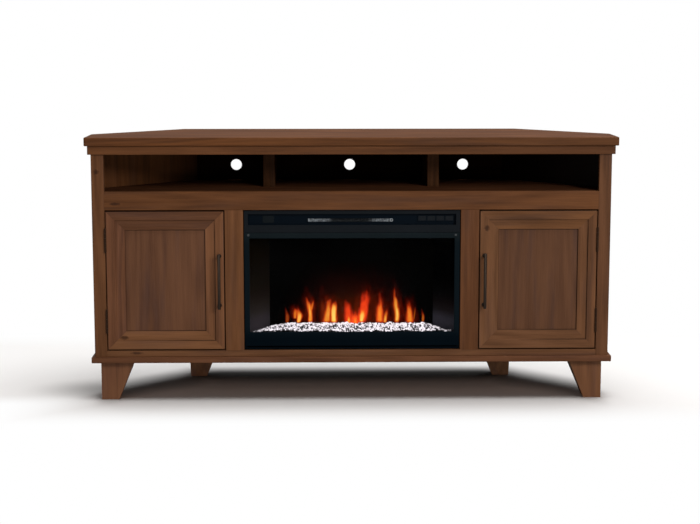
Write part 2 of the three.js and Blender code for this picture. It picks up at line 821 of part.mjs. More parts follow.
const fasciaPlate = extrudeBack(
  rectangle(-insertHalfWidth, fasciaBottomZ, insertHalfWidth, insertHeight),
  0,
  glassFrameThickness,
  { ease: edgeRadius },
);
const tub = box(
  [-channelHalfWidth - channelWallThickness, glassFrameThickness / 2, channelBottomZ - channelWallThickness],
  [channelHalfWidth + channelWallThickness, tubBackY, channelTopZ + channelWallThickness],
);
const channelPocket = box(
  [-channelHalfWidth, -cutOverrun, channelBottomZ],
  [channelHalfWidth, channelDepth, channelTopZ],
);
const outletMiddleZ = channelMiddleZ - grilleDrop;
const outletSlot = box(
  [grilleShift - grilleWidth / 2, channelDepth - cutOverrun, outletMiddleZ - grilleHeight / 2],
  [grilleShift + grilleWidth / 2, tubBackY + cutOverrun, outletMiddleZ + grilleHeight / 2],
);
const pad = box(
  [padLeftX, padFaceY, padBottomZ],
  [padRightX, channelDepth + channelFloorThickness / 2, padTopZ],
);
const keyPockets = keyCentres.map((x) =>
  box(
    [x - keyWidth / 2 - seatGap, padFaceY - cutOverrun, padMiddleZ - keyHeight / 2 - seatGap],
    [x + keyWidth / 2 + seatGap, keyPocketBackY, padMiddleZ + keyHeight / 2 + seatGap],
  ),
);
const openFascia = cut(joined(fasciaPlate, tub), channelPocket, outletSlot);
addPiece(insert, "heater_fascia", cut(joined(openFascia, pad), ...keyPockets), blackSheet);

keyCentres.forEach((x, index) => {
  const outline = rectangle(-keyWidth / 2, -keyHeight / 2, keyWidth / 2, keyHeight / 2, edgeRadius);
  const key = addPiece(insert, `push_key_${index + 1}`, extrudeBack(outline, 0, keyDepth), blackPlastic);
  key.position.set(x, padFaceY - keyProud, padMiddleZ);
});

// Outlet grille: a rim with upright and level bars in it.
const grilleHalfWidth = grilleWidth / 2 - seatGap;
const grilleHalfHeight = grilleHeight / 2 - seatGap;
const grilleInnerX = grilleHalfWidth - grilleRim;
const grilleInnerZ = grilleHalfHeight - grilleRim;
const grilleBackY = channelDepth + grilleThickness;
const grilleBox = (left, bottom, right, top) =>
  box(
    [grilleShift + left, channelDepth, outletMiddleZ + bottom],
    [grilleShift + right, grilleBackY, outletMiddleZ + top],
  );
const grilleBars = [];
for (let i = 1; i < grilleColumns; i += 1) {
  const x = (i / grilleColumns) * 2 * grilleInnerX - grilleInnerX;
  grilleBars.push(grilleBox(x - grilleBar / 2, -grilleHalfHeight, x + grilleBar / 2, grilleHalfHeight));
}
for (let i = 1; i < grilleRows; i += 1) {
  const z = (i / grilleRows) * 2 * grilleInnerZ - grilleInnerZ;
  grilleBars.push(grilleBox(-grilleHalfWidth, z - grilleBar / 2, grilleHalfWidth, z + grilleBar / 2));
}
const grilleBlank = grilleBox(-grilleHalfWidth, -grilleHalfHeight, grilleHalfWidth, grilleHalfHeight);
const grilleOpening = box(
  [grilleShift - grilleInnerX, channelDepth - cutOverrun, outletMiddleZ - grilleInnerZ],
  [grilleShift + grilleInnerX, grilleBackY + cutOverrun, outletMiddleZ + grilleInnerZ],
);
addPiece(insert, "heater_grille", joined(cut(grilleBlank, grilleOpening), ...grilleBars), brightMetal);

// Housing: a folded box with a front flange, open at the front in two compartments.
const flangeFrontY = glassFrameThickness + seatGap;
const housingHalfWidth = insertHalfWidth - housingInset;
const housingBottomZ = housingInset;
const housingTopZ = insertHeight - housingInset;
const housingBackY = flangeFrontY + housingDepth;
const cavityHalfWidth = housingHalfWidth - sheetThickness;
const cavityBottomZ = housingBottomZ + sheetThickness;
const cavityTopZ = housingTopZ - sheetThickness;
const cavityBackY = housingBackY - sheetThickness;
const deckTopZ = fasciaBottomZ;
const deckBottomZ = deckTopZ - sheetThickness;
const spindleY = flangeFrontY + fireboxDepth + spindleSetback;
const bayFloorZ = baseTopZ - openingBottomZ - insertFitGap;

const cavity = (low, high) =>
  box([-cavityHalfWidth, flangeFrontY - cutOverrun, low], [cavityHalfWidth, cavityBackY, high]);
const flange = box(
  [-insertHalfWidth, flangeFrontY, 0],
  [insertHalfWidth, flangeFrontY + flangeThickness, insertHeight],
);
const shell = box(
  [-housingHalfWidth, flangeFrontY + flangeThickness / 2, housingBottomZ],
  [housingHalfWidth, housingBackY, housingTopZ],
);
const vents = Array.from({ length: ventCount }, (_, i) => {
  const x = (i - (ventCount - 1) / 2) * ventPitch;
  const z = (deckTopZ + cavityTopZ) / 2;
  return box(
    [x - ventWidth / 2, cavityBackY - cutOverrun, z - ventHeight / 2],
    [x + ventWidth / 2, housingBackY + cutOverrun, z + ventHeight / 2],
  );
});
const skids = sides.map(({ side }) => {
  const x = side * skidCentreDistance;
  const backY = housingBackY - sheetThickness;
  return box(
    [x - skidWidth / 2, backY - skidLength, bayFloorZ + seatGap],
    [x + skidWidth / 2, backY, cavityBottomZ],
  );
});
const bracketX = spindleSpan / 2;
const brackets = sides.map(({ side }) => {
  const x = side * bracketX;
  const half = bracketHeight / 2;
  return box(
    [x - bracketThickness / 2, spindleY - half, spindleHeight - half],
    [x + bracketThickness / 2, housingBackY - sheetThickness / 2, spindleHeight + half],
  );
});
const motorMiddleX = bracketX + bracketThickness / 2 + motorLength / 2;
const motorCan = extrudeAcross(
  circle(spindleY, spindleHeight, motorRadius),
  bracketX,
  motorMiddleX + motorLength / 2,
);
const bearingRadius = boreCornerRadius(spindleRadius, bearingClearance);
const shaftHalfLength = bracketX + spindleEndLength;
const bearingBore = extrudeAcross(
  circle(spindleY, spindleHeight, bearingRadius, pinSides),
  -shaftHalfLength - cutOverrun,
  shaftHalfLength + seatGap,
);
const glandX = -(housingHalfWidth - glandSideDistance);
const gland = extrudeBack(
  circle(glandX, glandHeight, glandRadius),
  cavityBackY + sheetThickness / 2,
  housingBackY + glandLength,
);
const glandBore = extrudeBack(
  circle(glandX, glandHeight, glandBoreRadius),
  cavityBackY - cutOverrun,
  housingBackY + glandLength + cutOverrun,
);
const folded = cut(
  joined(flange, shell),
  cavity(cavityBottomZ, deckBottomZ),
  cavity(deckTopZ, cavityTopZ),
  ...vents,
);
const fitted = joined(folded, ...skids, ...brackets, motorCan, gland);
addPiece(insert, "insert_housing", cut(fitted, bearingBore, glandBore), blackSheet);

// Reflector: two slanted walls from the glass back to the flame screen, and the ember pan between them.
const reflectorFrontY = flangeFrontY + seatGap;
const reflectorBackY = flangeFrontY + fireboxDepth;
const reflectorFrontX = cavityHalfWidth - seatGap;
const reflectorBackX = reflectorFrontX - reflectorDrawIn;
const reflectorBottomZ = cavityBottomZ + seatGap;
const reflectorTopZ = deckBottomZ - seatGap;
const wallSpread = sheetThickness;
const reflectorWalls = sides.map(({ side }) => {
  const outline = [
    [reflectorFrontX - wallSpread, reflectorFrontY],
    [reflectorFrontX, reflectorFrontY],
    [reflectorBackX, reflectorBackY],
    [reflectorBackX - wallSpread, reflectorBackY],
  ];
  return extrudeUp(mirrored(outline, side), reflectorBottomZ, reflectorTopZ);
});
const panSide = [
  [reflectorFrontX - wallSpread / 2, reflectorFrontY],
  [reflectorBackX - wallSpread / 2, reflectorBackY],
];
const pan = extrudeUp(
  [...panSide, ...mirrored(panSide, -1).reverse()],
  emberPanHeight - sheetThickness,
  emberPanHeight,
);
addPiece(insert, "firebox_liner", joined(pan, ...reflectorWalls), greySheet);

const screenHalfWidth = reflectorBackX;
const screenOutline = rectangle(-screenHalfWidth, reflectorBottomZ, screenHalfWidth, reflectorTopZ);
const screenFrontY = reflectorBackY + seatGap;
const screenGeometry = extrudeBack(screenOutline, screenFrontY, screenFrontY + flameScreenThickness);
addPiece(insert, "flame_screen", screenGeometry, blackPlastic);

// Crystal bed: a mound in terraces that step in from every edge, and crystals sunk half into it in rows.
const bedFrontY = reflectorFrontY + bedFrontGap;
const bedBackY = reflectorBackY - bedFrontGap;
const bedFloorZ = emberPanHeight + seatGap;
const bedFrontHalf = reflectorFrontX - wallSpread - bedFrontGap;
const bedSlope = reflectorDrawIn / (reflectorBackY - reflectorFrontY);
const bedHalfWidthAt = (y) => bedFrontHalf - (y - reflectorFrontY) * bedSlope;
const terraceRun = (bedBackY - bedFrontY) / (2 * bedTerraces);
const terraceRise = (bedCrestHeight - bedEdgeHeight) / (bedTerraces - 1);
const terraceHeight = (level) => bedEdgeHeight + terraceRise * level;
const terraces = Array.from({ length: bedTerraces }, (_, level) => {
  const inset = level * terraceRun;
  const side = [bedFrontY + inset, bedBackY - inset].map((y) => [bedHalfWidthAt(y) - inset, y]);
  const outline = [...side, ...mirrored(side, -1).reverse()];
  return extrudeUp(outline, bedFloorZ, bedFloorZ + terraceHeight(level));
});
const terraceAt = (x, y) => {
  const fromEdge = Math.min(bedHalfWidthAt(y) - Math.abs(x), y - bedFrontY, bedBackY - y);
  return THREE.MathUtils.clamp(Math.floor(fromEdge / terraceRun), 0, bedTerraces - 1);
};
const crystalMargin = crystalRadius * (1 + crystalSpreadShare);
const crystals = [];
for (let row = 0; row < crystalRows; row += 1) {
  const rowStart = bedFrontY + crystalMargin;
  const rowRun = bedBackY - bedFrontY - 2 * crystalMargin;
  const y = rowStart + (rowRun * row) / (crystalRows - 1);
  for (let column = 0; column < crystalColumns; column += 1) {
    const index = row * crystalColumns + column;
    const radius = crystalRadius * (1 + crystalSpreadShare * Math.sin(index * crystalTurn));
    const halfRow = bedHalfWidthAt(y) - crystalMargin;
    const shift = (row % 2) / 2;
    const x = halfRow * (((column + shift) / (crystalColumns - 1 / 2)) * 2 - 1);
    const z = bedFloorZ + Math.max(terraceHeight(terraceAt(x, y)), radius);
    const crystal = new THREE.OctahedronGeometry(radius);
    crystal.rotateX(index).rotateY(index * crystalTurn).rotateZ(index * row);
    crystals.push(crystal.translate(x, y, z));
  }
}
addPiece(insert, "crystal_bed", joined(...terraces, ...crystals), crystalGlass);

// Flame spindle. Its blades cross the rod one after another, each turned an eighth from the last.
const spindleRod = extrudeAcross(circle(0, 0, spindleRadius, pinSides), -shaftHalfLength, shaftHalfLength);
const bladeRun = 2 * (bracketX - bracketThickness - spindleBladeLength);
const blades = Array.from({ length: spindleBladeCount }, (_, i) => {
  const x = -bladeRun / 2 + (bladeRun * i) / (spindleBladeCount - 1);
  const blade = box(
    [x - spindleBladeLength / 2, -spindleBladeThickness / 2, -spindleBladeReach],
    [x + spindleBladeLength / 2, spindleBladeThickness / 2, spindleBladeReach],
  );
  return blade.rotateX((i * Math.PI) / 4);
});
const spindle = addPiece(insert, "flame_spindle", joined(spindleRod, ...blades), brightMetal);
spindle.position.set(0, spindleY, spindleHeight);

// Heater duct: a scroll round the blower that narrows into a flat duct behind the grille.
const blowerY = tubBackY + blowerSetback;
const blowerZ = (deckTopZ + cavityTopZ) / 2;
const scrollRadius = blowerRadius + scrollGap;
const ductFrontY = tubBackY + seatGap;
const ductFootZ = deckTopZ + seatGap;
const ductTopZ = outletMiddleZ + ductInnerHeight / 2;
const ductBottomZ = outletMiddleZ - ductInnerHeight / 2;
const ductHalfWidth = grilleWidth / 2 + Math.abs(grilleShift);
const topJoinZ = Math.max(ductTopZ, blowerZ + scrollRadius);
const scrollArc = (radius, from, to) =>
  Array.from({ length: scrollArcSteps + 1 }, (_, i) => {
    const angle = from + ((to - from) * i) / scrollArcSteps;
    return [blowerY + radius * Math.cos(angle), blowerZ + radius * Math.sin(angle)];
  });
const upperWall = [
  [ductFrontY, ductTopZ + ductWallThickness],
  [ductFrontY, ductTopZ],
  ...scrollArc(scrollRadius, Math.PI / 2, -Math.PI / 4),
  ...scrollArc(scrollRadius + ductWallThickness, -Math.PI / 4, Math.PI / 2),
];
const cutoffY = blowerY - scrollRadius - ductWallThickness;
const lowerWall = [
  [ductFrontY, ductBottomZ - ductWallThickness],
  [cutoffY, ductBottomZ - ductWallThickness],
  [cutoffY, ductBottomZ + ductWallThickness],
  [cutoffY - ductWallThickness, ductBottomZ + ductWallThickness],
  [cutoffY - ductWallThickness, ductBottomZ],
  [ductFrontY, ductBottomZ],
];
const cheekOutline = [
  [ductFrontY, ductBottomZ - ductWallThickness],
  [blowerY - scrollRadius, ductFootZ],
  [blowerY + scrollRadius, ductFootZ],
  [blowerY + scrollRadius + ductWallThickness, blowerZ],
  [blowerY + scrollRadius, topJoinZ],
  [ductFrontY, ductTopZ + ductWallThickness],
];
const cheeks = sides.map(({ side }) => {
  const nearX = side * ductHalfWidth;
  const farX = side * (ductHalfWidth + ductCheekThickness);
  return extrudeAcross(cheekOutline, Math.min(nearX, farX), Math.max(nearX, farX));
});
const wallHalf = ductHalfWidth + ductCheekThickness / 2;
const elementFrontY = ductFrontY + elementSetback;
const elementBar = box(
  [-wallHalf, elementFrontY, outletMiddleZ - elementBarHeight / 2],
  [wallHalf, elementFrontY + elementDepth, outletMiddleZ + elementBarHeight / 2],
);
const fins = Array.from({ length: elementFinCount }, (_, i) => {
  const x = -ductHalfWidth + ((i + 1 / 2) / elementFinCount) * 2 * ductHalfWidth;
  return box(
    [x - elementFinThickness / 2, elementFrontY, ductBottomZ - ductWallThickness / 2],
    [x + elementFinThickness / 2, elementFrontY + elementDepth, ductTopZ + ductWallThickness / 2],
  );
});
const blowerMotor = extrudeAcross(
  circle(blowerY, blowerZ, motorRadius),
  ductHalfWidth + ductCheekThickness / 2,
  ductHalfWidth + ductCheekThickness + motorLength,
);
const blowerShaftHalf = ductHalfWidth + ductCheekThickness + blowerEndGap;
const shaftBore = extrudeAcross(
  circle(blowerY, blowerZ, boreCornerRadius(blowerShaftRadius, bearingClearance), pinSides),
  -blowerShaftHalf - cutOverrun,
  blowerShaftHalf + seatGap,
);
const duct = joined(
  extrudeAcross(upperWall, -wallHalf, wallHalf),
  extrudeAcross(lowerWall, -wallHalf, wallHalf),
  ...cheeks,
  elementBar,
  ...fins,
  blowerMotor,
);
addPiece(insert, "heater_duct", cut(duct, shaftBore), brightMetal);

// Blower wheel: a ring of blades between two discs, on a through shaft.
const wheelHalf = ductHalfWidth - blowerEndGap;
const shaft = extrudeAcross(circle(0, 0, blowerShaftRadius, pinSides), -blowerShaftHalf, blowerShaftHalf);
const discs = sides.map(({ side }) => {
  const nearX = side * wheelHalf;
  const farX = side * (wheelHalf - blowerDiscThickness);
  return extrudeAcross(circle(0, 0, blowerRadius), Math.min(nearX, farX), Math.max(nearX, farX));
});
const wheelBlades = Array.from({ length: blowerBladeCount }, (_, i) => {
  const blade = box(
    [-wheelHalf + blowerDiscThickness / 2, -blowerBladeThickness / 2, blowerRadius - blowerRimDepth],
    [wheelHalf - blowerDiscThickness / 2, blowerBladeThickness / 2, blowerRadius - blowerBladeThickness],
  );
  return blade.rotateX((i / blowerBladeCount) * 2 * Math.PI);
});
const wheel = addPiece(insert, "blower_wheel", joined(shaft, ...discs, ...wheelBlades), blackPlastic);
wheel.position.set(0, blowerY, blowerZ);

// The part's origin lies on the floor, midway between the fronts of the handles and the back edge of the top.
const handleFrontY = frameFrontY - handleStandoff - handleRadius;
stand.position.y = -(handleFrontY + topDepth) / 2;

export default stand;
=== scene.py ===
"""Corner media cabinet with an electric fireplace insert: its looks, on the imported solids."""

import math

import bpy
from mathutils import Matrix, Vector, noise


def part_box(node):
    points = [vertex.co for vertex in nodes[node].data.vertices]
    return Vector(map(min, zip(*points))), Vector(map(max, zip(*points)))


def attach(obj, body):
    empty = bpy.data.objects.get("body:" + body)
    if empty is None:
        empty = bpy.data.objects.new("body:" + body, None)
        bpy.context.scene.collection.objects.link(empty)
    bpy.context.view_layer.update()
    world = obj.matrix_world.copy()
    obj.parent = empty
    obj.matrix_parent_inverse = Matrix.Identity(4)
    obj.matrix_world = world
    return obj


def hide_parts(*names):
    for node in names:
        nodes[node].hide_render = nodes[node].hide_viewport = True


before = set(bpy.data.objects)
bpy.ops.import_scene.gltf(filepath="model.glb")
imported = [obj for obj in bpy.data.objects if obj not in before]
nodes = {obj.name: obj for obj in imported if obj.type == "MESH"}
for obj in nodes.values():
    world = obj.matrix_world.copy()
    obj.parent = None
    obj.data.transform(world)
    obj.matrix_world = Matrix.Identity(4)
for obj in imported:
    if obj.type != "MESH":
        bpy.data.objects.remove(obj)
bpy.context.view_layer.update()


# Studio: a pale floor that takes the shadow and turns white away from the stand, in a white surround, with
# more shadow painted into it under the stand's back and beside its left end. A large soft light hangs
# overhead. A smaller one at the front right and a low one in front light all but the floor, and a wide warm
# one lights the floor alone.
def add_node(tree, kind, inputs=(), **settings):
    """A new node with its settings. Its inputs are values, or sockets to link. A kind that is written
    without the word Node is a shader node."""
    made = tree.nodes.new(kind if "Node" in kind else "ShaderNode" + kind)
    for key, value in settings.items():
        setattr(made, key, value)
    for key, value in dict(inputs).items():
        if isinstance(value, bpy.types.NodeSocket):
            tree.links.new(value, made.inputs[key])
        else:
            made.inputs[key].default_value = value
    return made


def source(tree, kind, inputs=(), output=0, **settings):
    return add_node(tree, kind, inputs, **settings).outputs[output]


def output_of(kind, inputs, output=0, **settings):
    """One output of a new node, in the tree of the sockets that it takes."""
    tree = next(value.id_data for value in inputs.values() if isinstance(value, bpy.types.NodeSocket))
    return source(tree, kind, inputs, output, **settings)


def new_material(name):
    material = bpy.data.materials.new(name)
    material.use_nodes = True
    material.node_tree.nodes.clear()
    return material, material.node_tree


def show_surface(inputs, kind="BsdfPrincipled"):
    shader = output_of(kind, inputs)
    add_node(shader.id_data, "OutputMaterial", {"Surface": shader})


def calc(operation, first, second=0.0, third=0.0, clamp=False):
    values = {0: first, 1: second, 2: third}
    return output_of("Math", values, operation=operation, use_clamp=clamp)


def product(first, *others):
    for value in others:
        first = calc("MULTIPLY", first, value)
    return first


def span(value, low, high, low_out=0.0, high_out=1.0, smooth=True):
    """A value carried from one range to another, and held at its ends."""
    values = {"Value": value, "From Min": low, "From Max": high, "To Min": low_out, "To Max": high_out}
    style = "SMOOTHSTEP" if smooth else "LINEAR"
    return output_of("MapRange", values, interpolation_type=style)


def vector_calc(operation, first, second=(0, 0, 0)):
    output = "Value" if operation in ("LENGTH", "DOT_PRODUCT") else "Vector"
    return output_of("VectorMath", {0: first, 1: second}, output, operation=operation)


def parts_of(vector):
    return add_node(vector.id_data, "SeparateXYZ", {0: vector}).outputs


def object_place(tree):
    return source(tree, "TexCoord", output="Object")


def seen_directly(tree):
    """1 for what is seen, also in metal and through glass, and 0 for light that bounces on."""
    path = add_node(tree, "LightPath").outputs
    direct = calc("MAXIMUM", path["Is Camera Ray"], path["Is Transmission Ray"])
    return calc("MAXIMUM", direct, path["Is Glossy Ray"])


def new_object(name, data):
    made = bpy.data.objects.new(name, data)
    bpy.context.scene.collection.objects.link(made)
    return made


def new_mesh(name, vertices=(), faces=()):
    mesh = bpy.data.meshes.new(name)
    mesh.from_pydata([Vector(vertex) for vertex in vertices], [], faces)
    return mesh


def mesh_piece(name, vertices, faces, material, body=None, smooth_below=None):
    """A piece of a body. Its edges are smooth where they bend less than the given angle."""
    mesh = new_mesh(name, vertices, faces)
    mesh.materials.append(material)
    if smooth_below is None:
        mesh.shade_flat()
    else:
        mesh.shade_smooth()
        mesh.set_sharp_from_angle(angle=math.radians(smooth_below))
    piece = new_object(name, mesh)
    if body:
        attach(piece, body)
    return piece


WHITE = (1, 1, 1, 1)
FLOOR_HALF = 40.0
FLOOR_COLOUR = (0.855, 0.843, 0.83)
BOUNCE_COLOUR = (0.4, 0.4, 0.4, 1)
FILL_COLOUR = (0.93, 0.96, 1, 1)
SHADOW_CENTRE = (-0.1, 0.2, 0)
BACK_EDGE = 0.215
BACK_SOFTNESS = 0.13
DIAGONAL_EDGE = 0.535
WING_CENTRE = (-0.78, -0.02, 0)
WING_REACH = (0.34, 0.19, 1)


def turned_white(place):
    """How white the floor is: fully away from the stand, and sooner in front of its left end, where painted
    light cuts the stand's shadow short.
    """
    across, along, _ = parts_of(place)
    away = vector_calc("ABSOLUTE", vector_calc("SUBTRACT", place, SHADOW_CENTRE))
    aside, ahead, _ = parts_of(away)
    outside = calc("MAXIMUM", span(aside, 1.0, 1.7), span(ahead, 0.42, 0.74))
    front_left = product(span(across, -0.77, -1.15), span(along, -0.10, -0.26))
    return calc("MAXIMUM", outside, front_left)


def painted_floor_shadow(place):
    """Painted shadow on the floor: darkest in a band under the stand's back, and some beside its left end.
    """
    across, along, _ = parts_of(place)
    aside = calc("ABSOLUTE", across)
    diagonal = product(calc("ADD", aside, along), math.sqrt(0.5))
    behind = calc("MAXIMUM", along, calc("SUBTRACT", diagonal, DIAGONAL_EDGE - BACK_EDGE))
    band_end = span(behind, BACK_EDGE + BACK_SOFTNESS, BACK_EDGE)
    band = product(band_end, span(behind, 0.02, 0.19))
    weaker = span(aside, 0.45, 0.62, 0.94, 0.62)
    band = product(band, weaker, span(aside, 0.76, 0.84, 1.0, 0.0))
    away = vector_calc("DIVIDE", vector_calc("SUBTRACT", place, WING_CENTRE), WING_REACH)
    away = vector_calc("LENGTH", away)
    wing = product(span(away, 1.0, 0.0, 0.0, 0.5), span(across, -0.74, -0.80))
    return calc("MAXIMUM", band, wing)


floor_paint, tree = new_material("studio_floor")
place = object_place(tree)
# The floor's colour carries the painted shadow.
matte = vector_calc("MULTIPLY", FLOOR_COLOUR, calc("SUBTRACT", 1.0, painted_floor_shadow(place)))
matte = output_of("BsdfDiffuse", {"Color": matte})
white = source(tree, "Emission", {"Color": WHITE, "Strength": 1.0})
shown = output_of("MixShader", {0: turned_white(place), 1: matte, 2: white})
bounce = source(tree, "BsdfDiffuse", {"Color": BOUNCE_COLOUR})
show_surface({0: seen_directly(tree), 1: bounce, 2: shown}, "MixShader")
corners = [(x * FLOOR_HALF, y * FLOOR_HALF, 0) for x, y in ((-1, -1), (1, -1), (1, 1), (-1, 1))]
floor = mesh_piece("floor", corners, [(0, 1, 2, 3)], floor_paint)

world = bpy.data.worlds.new("studio")
bpy.context.scene.world = world
world.use_nodes = True
tree = world.node_tree
tree.nodes.clear()
fill = source(tree, "Background", {"Color": FILL_COLOUR, "Strength": 0.1})
bare = source(tree, "Background", {"Color": WHITE, "Strength": 1.0})
both = output_of("MixShader", {0: seen_directly(tree), 1: fill, 2: bare})
add_node(tree, "OutputWorld", {"Surface": both})


def receivers(name, floor_state):
    """What a light reaches: the floor alone, or all but the floor."""
    group = bpy.data.collections.new(name)
    group.objects.link(floor)
    group.collection_objects[0].light_linking.link_state = floor_state
    return group


all_but_floor = receivers("all_but_floor", "EXCLUDE")
only_floor = receivers("only_floor", "INCLUDE")
# Each lamp: its name, place, target, size, power and colour, and what it reaches.
LAMPS = (
    ("overhead", (1.1, 0.6, 8), (0, 0.1, 0), (9.2, 6.7), 925, (1, 1, 1), None),
    ("front", (2.9, -4.7, 2.9), (0, 0, 0.4), (2.0, 1.6), 208, (1, 0.98, 0.95), all_but_floor),
    ("low", (0.6, -6.0, 0.35), (0, 0, 0.3), (4.0, 0.7), 55, (1, 1, 1), all_but_floor),
    ("under", (0, -4.5, 1.9), (0, -0.2, 0.1), (10, 2.8), 52, (1, 0.72, 0.59), only_floor),
)
for name, place, target, size, power, colour, reached in LAMPS:
    lamp = bpy.data.lights.new(name, "AREA")
    lamp.shape = "RECTANGLE"
    lamp.size, lamp.size_y = size
    lamp.energy = power
    lamp.color = colour
    holder = new_object(name, lamp)
    holder.location = place
    holder.rotation_euler = (Vector(target) - Vector(place)).to_track_quat("-Z", "Y").to_euler()
    holder.light_linking.receiver_collection = reached

CAMERA_PLACE = (-0.104103, -5.250708, 1.190735)
CAMERA_DOWN = 8.2992
CAMERA_TO_THE_RIGHT = 1.1035
camera = bpy.data.cameras.new("camera")
camera.sensor_width = 36.0
camera.lens = 81.56
camera_holder = new_object("camera", camera)
camera_holder.location = CAMERA_PLACE
camera_holder.rotation_euler = (math.radians(90 - CAMERA_DOWN), 0, math.radians(-CAMERA_TO_THE_RIGHT))
bpy.context.scene.camera = camera_holder
bpy.context.scene.view_settings.view_transform = "Standard"


# Cabinet boards: wood under a dark brown stain and a thin satin lacquer. The figure runs along each
# board, no two boards are cut from the same place, and a few show a small knot.
def new_group(name, kind, takes, gives):
    """An empty node group, and the sockets inside it that carry what it takes."""
    group = bpy.data.node_groups.new(name, kind)
    for way, sockets in (("INPUT", takes), ("OUTPUT", gives)):
        for label, socket in sockets.items():
            group.interface.new_socket(label, in_out=way, socket_type=f"NodeSocket{socket}")
    return group, group.nodes.new("NodeGroupInput").outputs


def noise_value(vector, scale, detail, roughness=0.5, output="Fac"):
    values = {"Vector": vector, "Scale": scale, "Detail": detail, "Roughness": roughness}
    return output_of("TexNoise", values, output)


def build_wood_figure():
    takes = {"Place": "Vector", "Knot": "Float"}
    gives = {"Tone": "Float", "Fibre": "Float", "Warmth": "Float"}
    group, given = new_group("wood_figure", "ShaderNodeTree", takes, gives)
    place = given["Place"]

    def grain_noise(vector, scale, *looks):
        return noise_value(vector_calc("MULTIPLY", vector, scale), 1.0, *looks)

    def swing(value, amount):
        return product(calc("SUBTRACT", value, 0.5), amount)

    wander = grain_noise(place, (1.6, 7, 7), 2.0, 0.5, "Color")
    wander = vector_calc("SUBTRACT", wander, (0.5, 0.5, 0.5))
    wander = vector_calc("MULTIPLY", wander, (0, 0.024, 0.024))
    warped = vector_calc("ADD", place, wander)
    hill = grain_noise(warped, (0.75, 6.5, 6.5), 1.0, 0.4)
    hill = calc("MULTIPLY_ADD", given["Knot"], 0.2, hill)
    rings = calc("MULTIPLY_ADD", calc("SINE", product(hill, 64.0)), 0.5, 0.5)
    streaks = grain_noise(warped, (2.4, 75, 75), 5.0, 0.62)
    fibres = grain_noise(warped, (12, 420, 420), 3.0, 0.6)
    clouds = grain_noise(place, (2.1, 6, 6), 3.0, 0.55)
    tone = calc("ADD", swing(rings, 0.26), swing(streaks, 1.15))
    tone = calc("ADD", tone, swing(fibres, 0.7))
    tone = calc("ADD", tone, swing(clouds, 0.75))
    results = {
        "Tone": calc("ADD", tone, 0.5, clamp=True),
        "Fibre": calc("ADD", swing(fibres, 1.0), swing(streaks, 0.6)),
        "Warmth": grain_noise(warped, (2.6, 32, 32), 3.0, 0.55),
    }
    add_node(group, "NodeGroupOutput", results)
    return group


WOOD_FIGURE = build_wood_figure()
ALONG_X = (0, 0, 0)
ALONG_Z = (0, math.radians(90), 0)
FRONT_WOOD = ((0.078, 0.0290, 0.0102), (0.126, 0.0476, 0.0170), (0.170, 0.0663, 0.0247))
PANEL_WOOD = ((0.093, 0.0380, 0.0188), (0.129, 0.0544, 0.0264), (0.160, 0.0686, 0.0334))
TOP_WOOD = ((0.066, 0.0255, 0.0098), (0.104, 0.0405, 0.0156), (0.142, 0.0570, 0.0225))
INSIDE_WOOD = ((0.010, 0.0038, 0.0015), (0.018, 0.0070, 0.0028), (0.028, 0.0110, 0.0045))
MAUVE_CAST = (0.76, 0.82, 1.06)
TONE_STOPS = (0.05, 0.5, 0.95)
KNOT_COLOUR = (0.020, 0.0075, 0.0040, 1)
KNOT_DEPTH = 0.72


def mixed_colour(share, first, second):
    return output_of("Mix", {0: share, 6: first, 7: second}, 2, data_type="RGBA")


def knot_mask(place, knots):
    """Where the small knots are: each has a middle, and its reach along x and z."""
    mask = 0.0
    wobble = noise_value(place, 140.0, 2.0)
    for (middle_x, middle_z), (reach_x, reach_z) in knots:
        away = vector_calc("SUBTRACT", place, (middle_x, 0, middle_z))
        away = vector_calc("MULTIPLY", away, (1 / reach_x, 0, 1 / reach_z))
        distance = calc("MULTIPLY_ADD", wobble, 0.9, vector_calc("LENGTH", away))
        mask = calc("MAXIMUM", mask, span(distance, 1.55, 0.75))
    return mask


def colour_ramp(value, stops):
    """A colour picked by a value, from a row of stops of (position, colour)."""
    ramp = add_node(value.id_data, "ValToRGB", {"Fac": value})
    while len(ramp.color_ramp.elements) < len(stops):
        ramp.color_ramp.elements.new(0.5)
    for stop, (position, colour) in zip(ramp.color_ramp.elements, stops):
        stop.position = position
        stop.color = (*colour, 1)
    return ramp.outputs["Color"]


def wood(name, grain, seed, colours, tint=(1, 1, 1), knots=(), shade=None, lacquer=0.1):
    """Stained wood, cut from a place of its own in the figure, which the seed picks."""
    material, tree = new_material(name)
    place = object_place(tree)
    shift = [seed * 1.37 % 5, seed * 2.11 % 5, seed * 0.73 % 5]
    turned = {"Vector": place, "Location": shift, "Rotation": grain}
    turned = output_of("Mapping", turned)
    figure = add_node(tree, "Group", {"Place": turned}, node_tree=WOOD_FIGURE)
    stained = [[part * share for part, share in zip(colour, tint)] for colour in colours]
    colour = colour_ramp(figure.outputs["Tone"], list(zip(TONE_STOPS, stained)))
    mauve = vector_calc("MULTIPLY", colour, MAUVE_CAST)
    colour = mixed_colour(span(figure.outputs["Warmth"], 0.45, 0.75), colour, mauve)
    if knots:
        mask = knot_mask(place, knots)
        tree.links.new(mask, figure.inputs["Knot"])
        colour = mixed_colour(product(mask, KNOT_DEPTH), colour, KNOT_COLOUR)
    if shade:
        colour = vector_calc("MULTIPLY", colour, shade(place))
    relief = {"Strength": 0.35, "Distance": 0.0006, "Height": figure.outputs["Fibre"]}
    surface = {
        "Base Color": colour,
        "Roughness": span(figure.outputs["Tone"], 0.0, 1.0, 0.52, 0.40, smooth=False),
        "Normal": output_of("Bump", relief),
        "Specular IOR Level": 0.0,
        "Coat Weight": lacquer,
        "Coat Roughness": 0.4,
    }
    show_surface(surface)
    return material


def dress(node, material):
    mesh = nodes[node].data
    mesh.materials.clear()
    mesh.materials.append(material)


def board(node, *looks, **finish):
    dress(node, wood(f"wood_{node}", *looks, **finish))


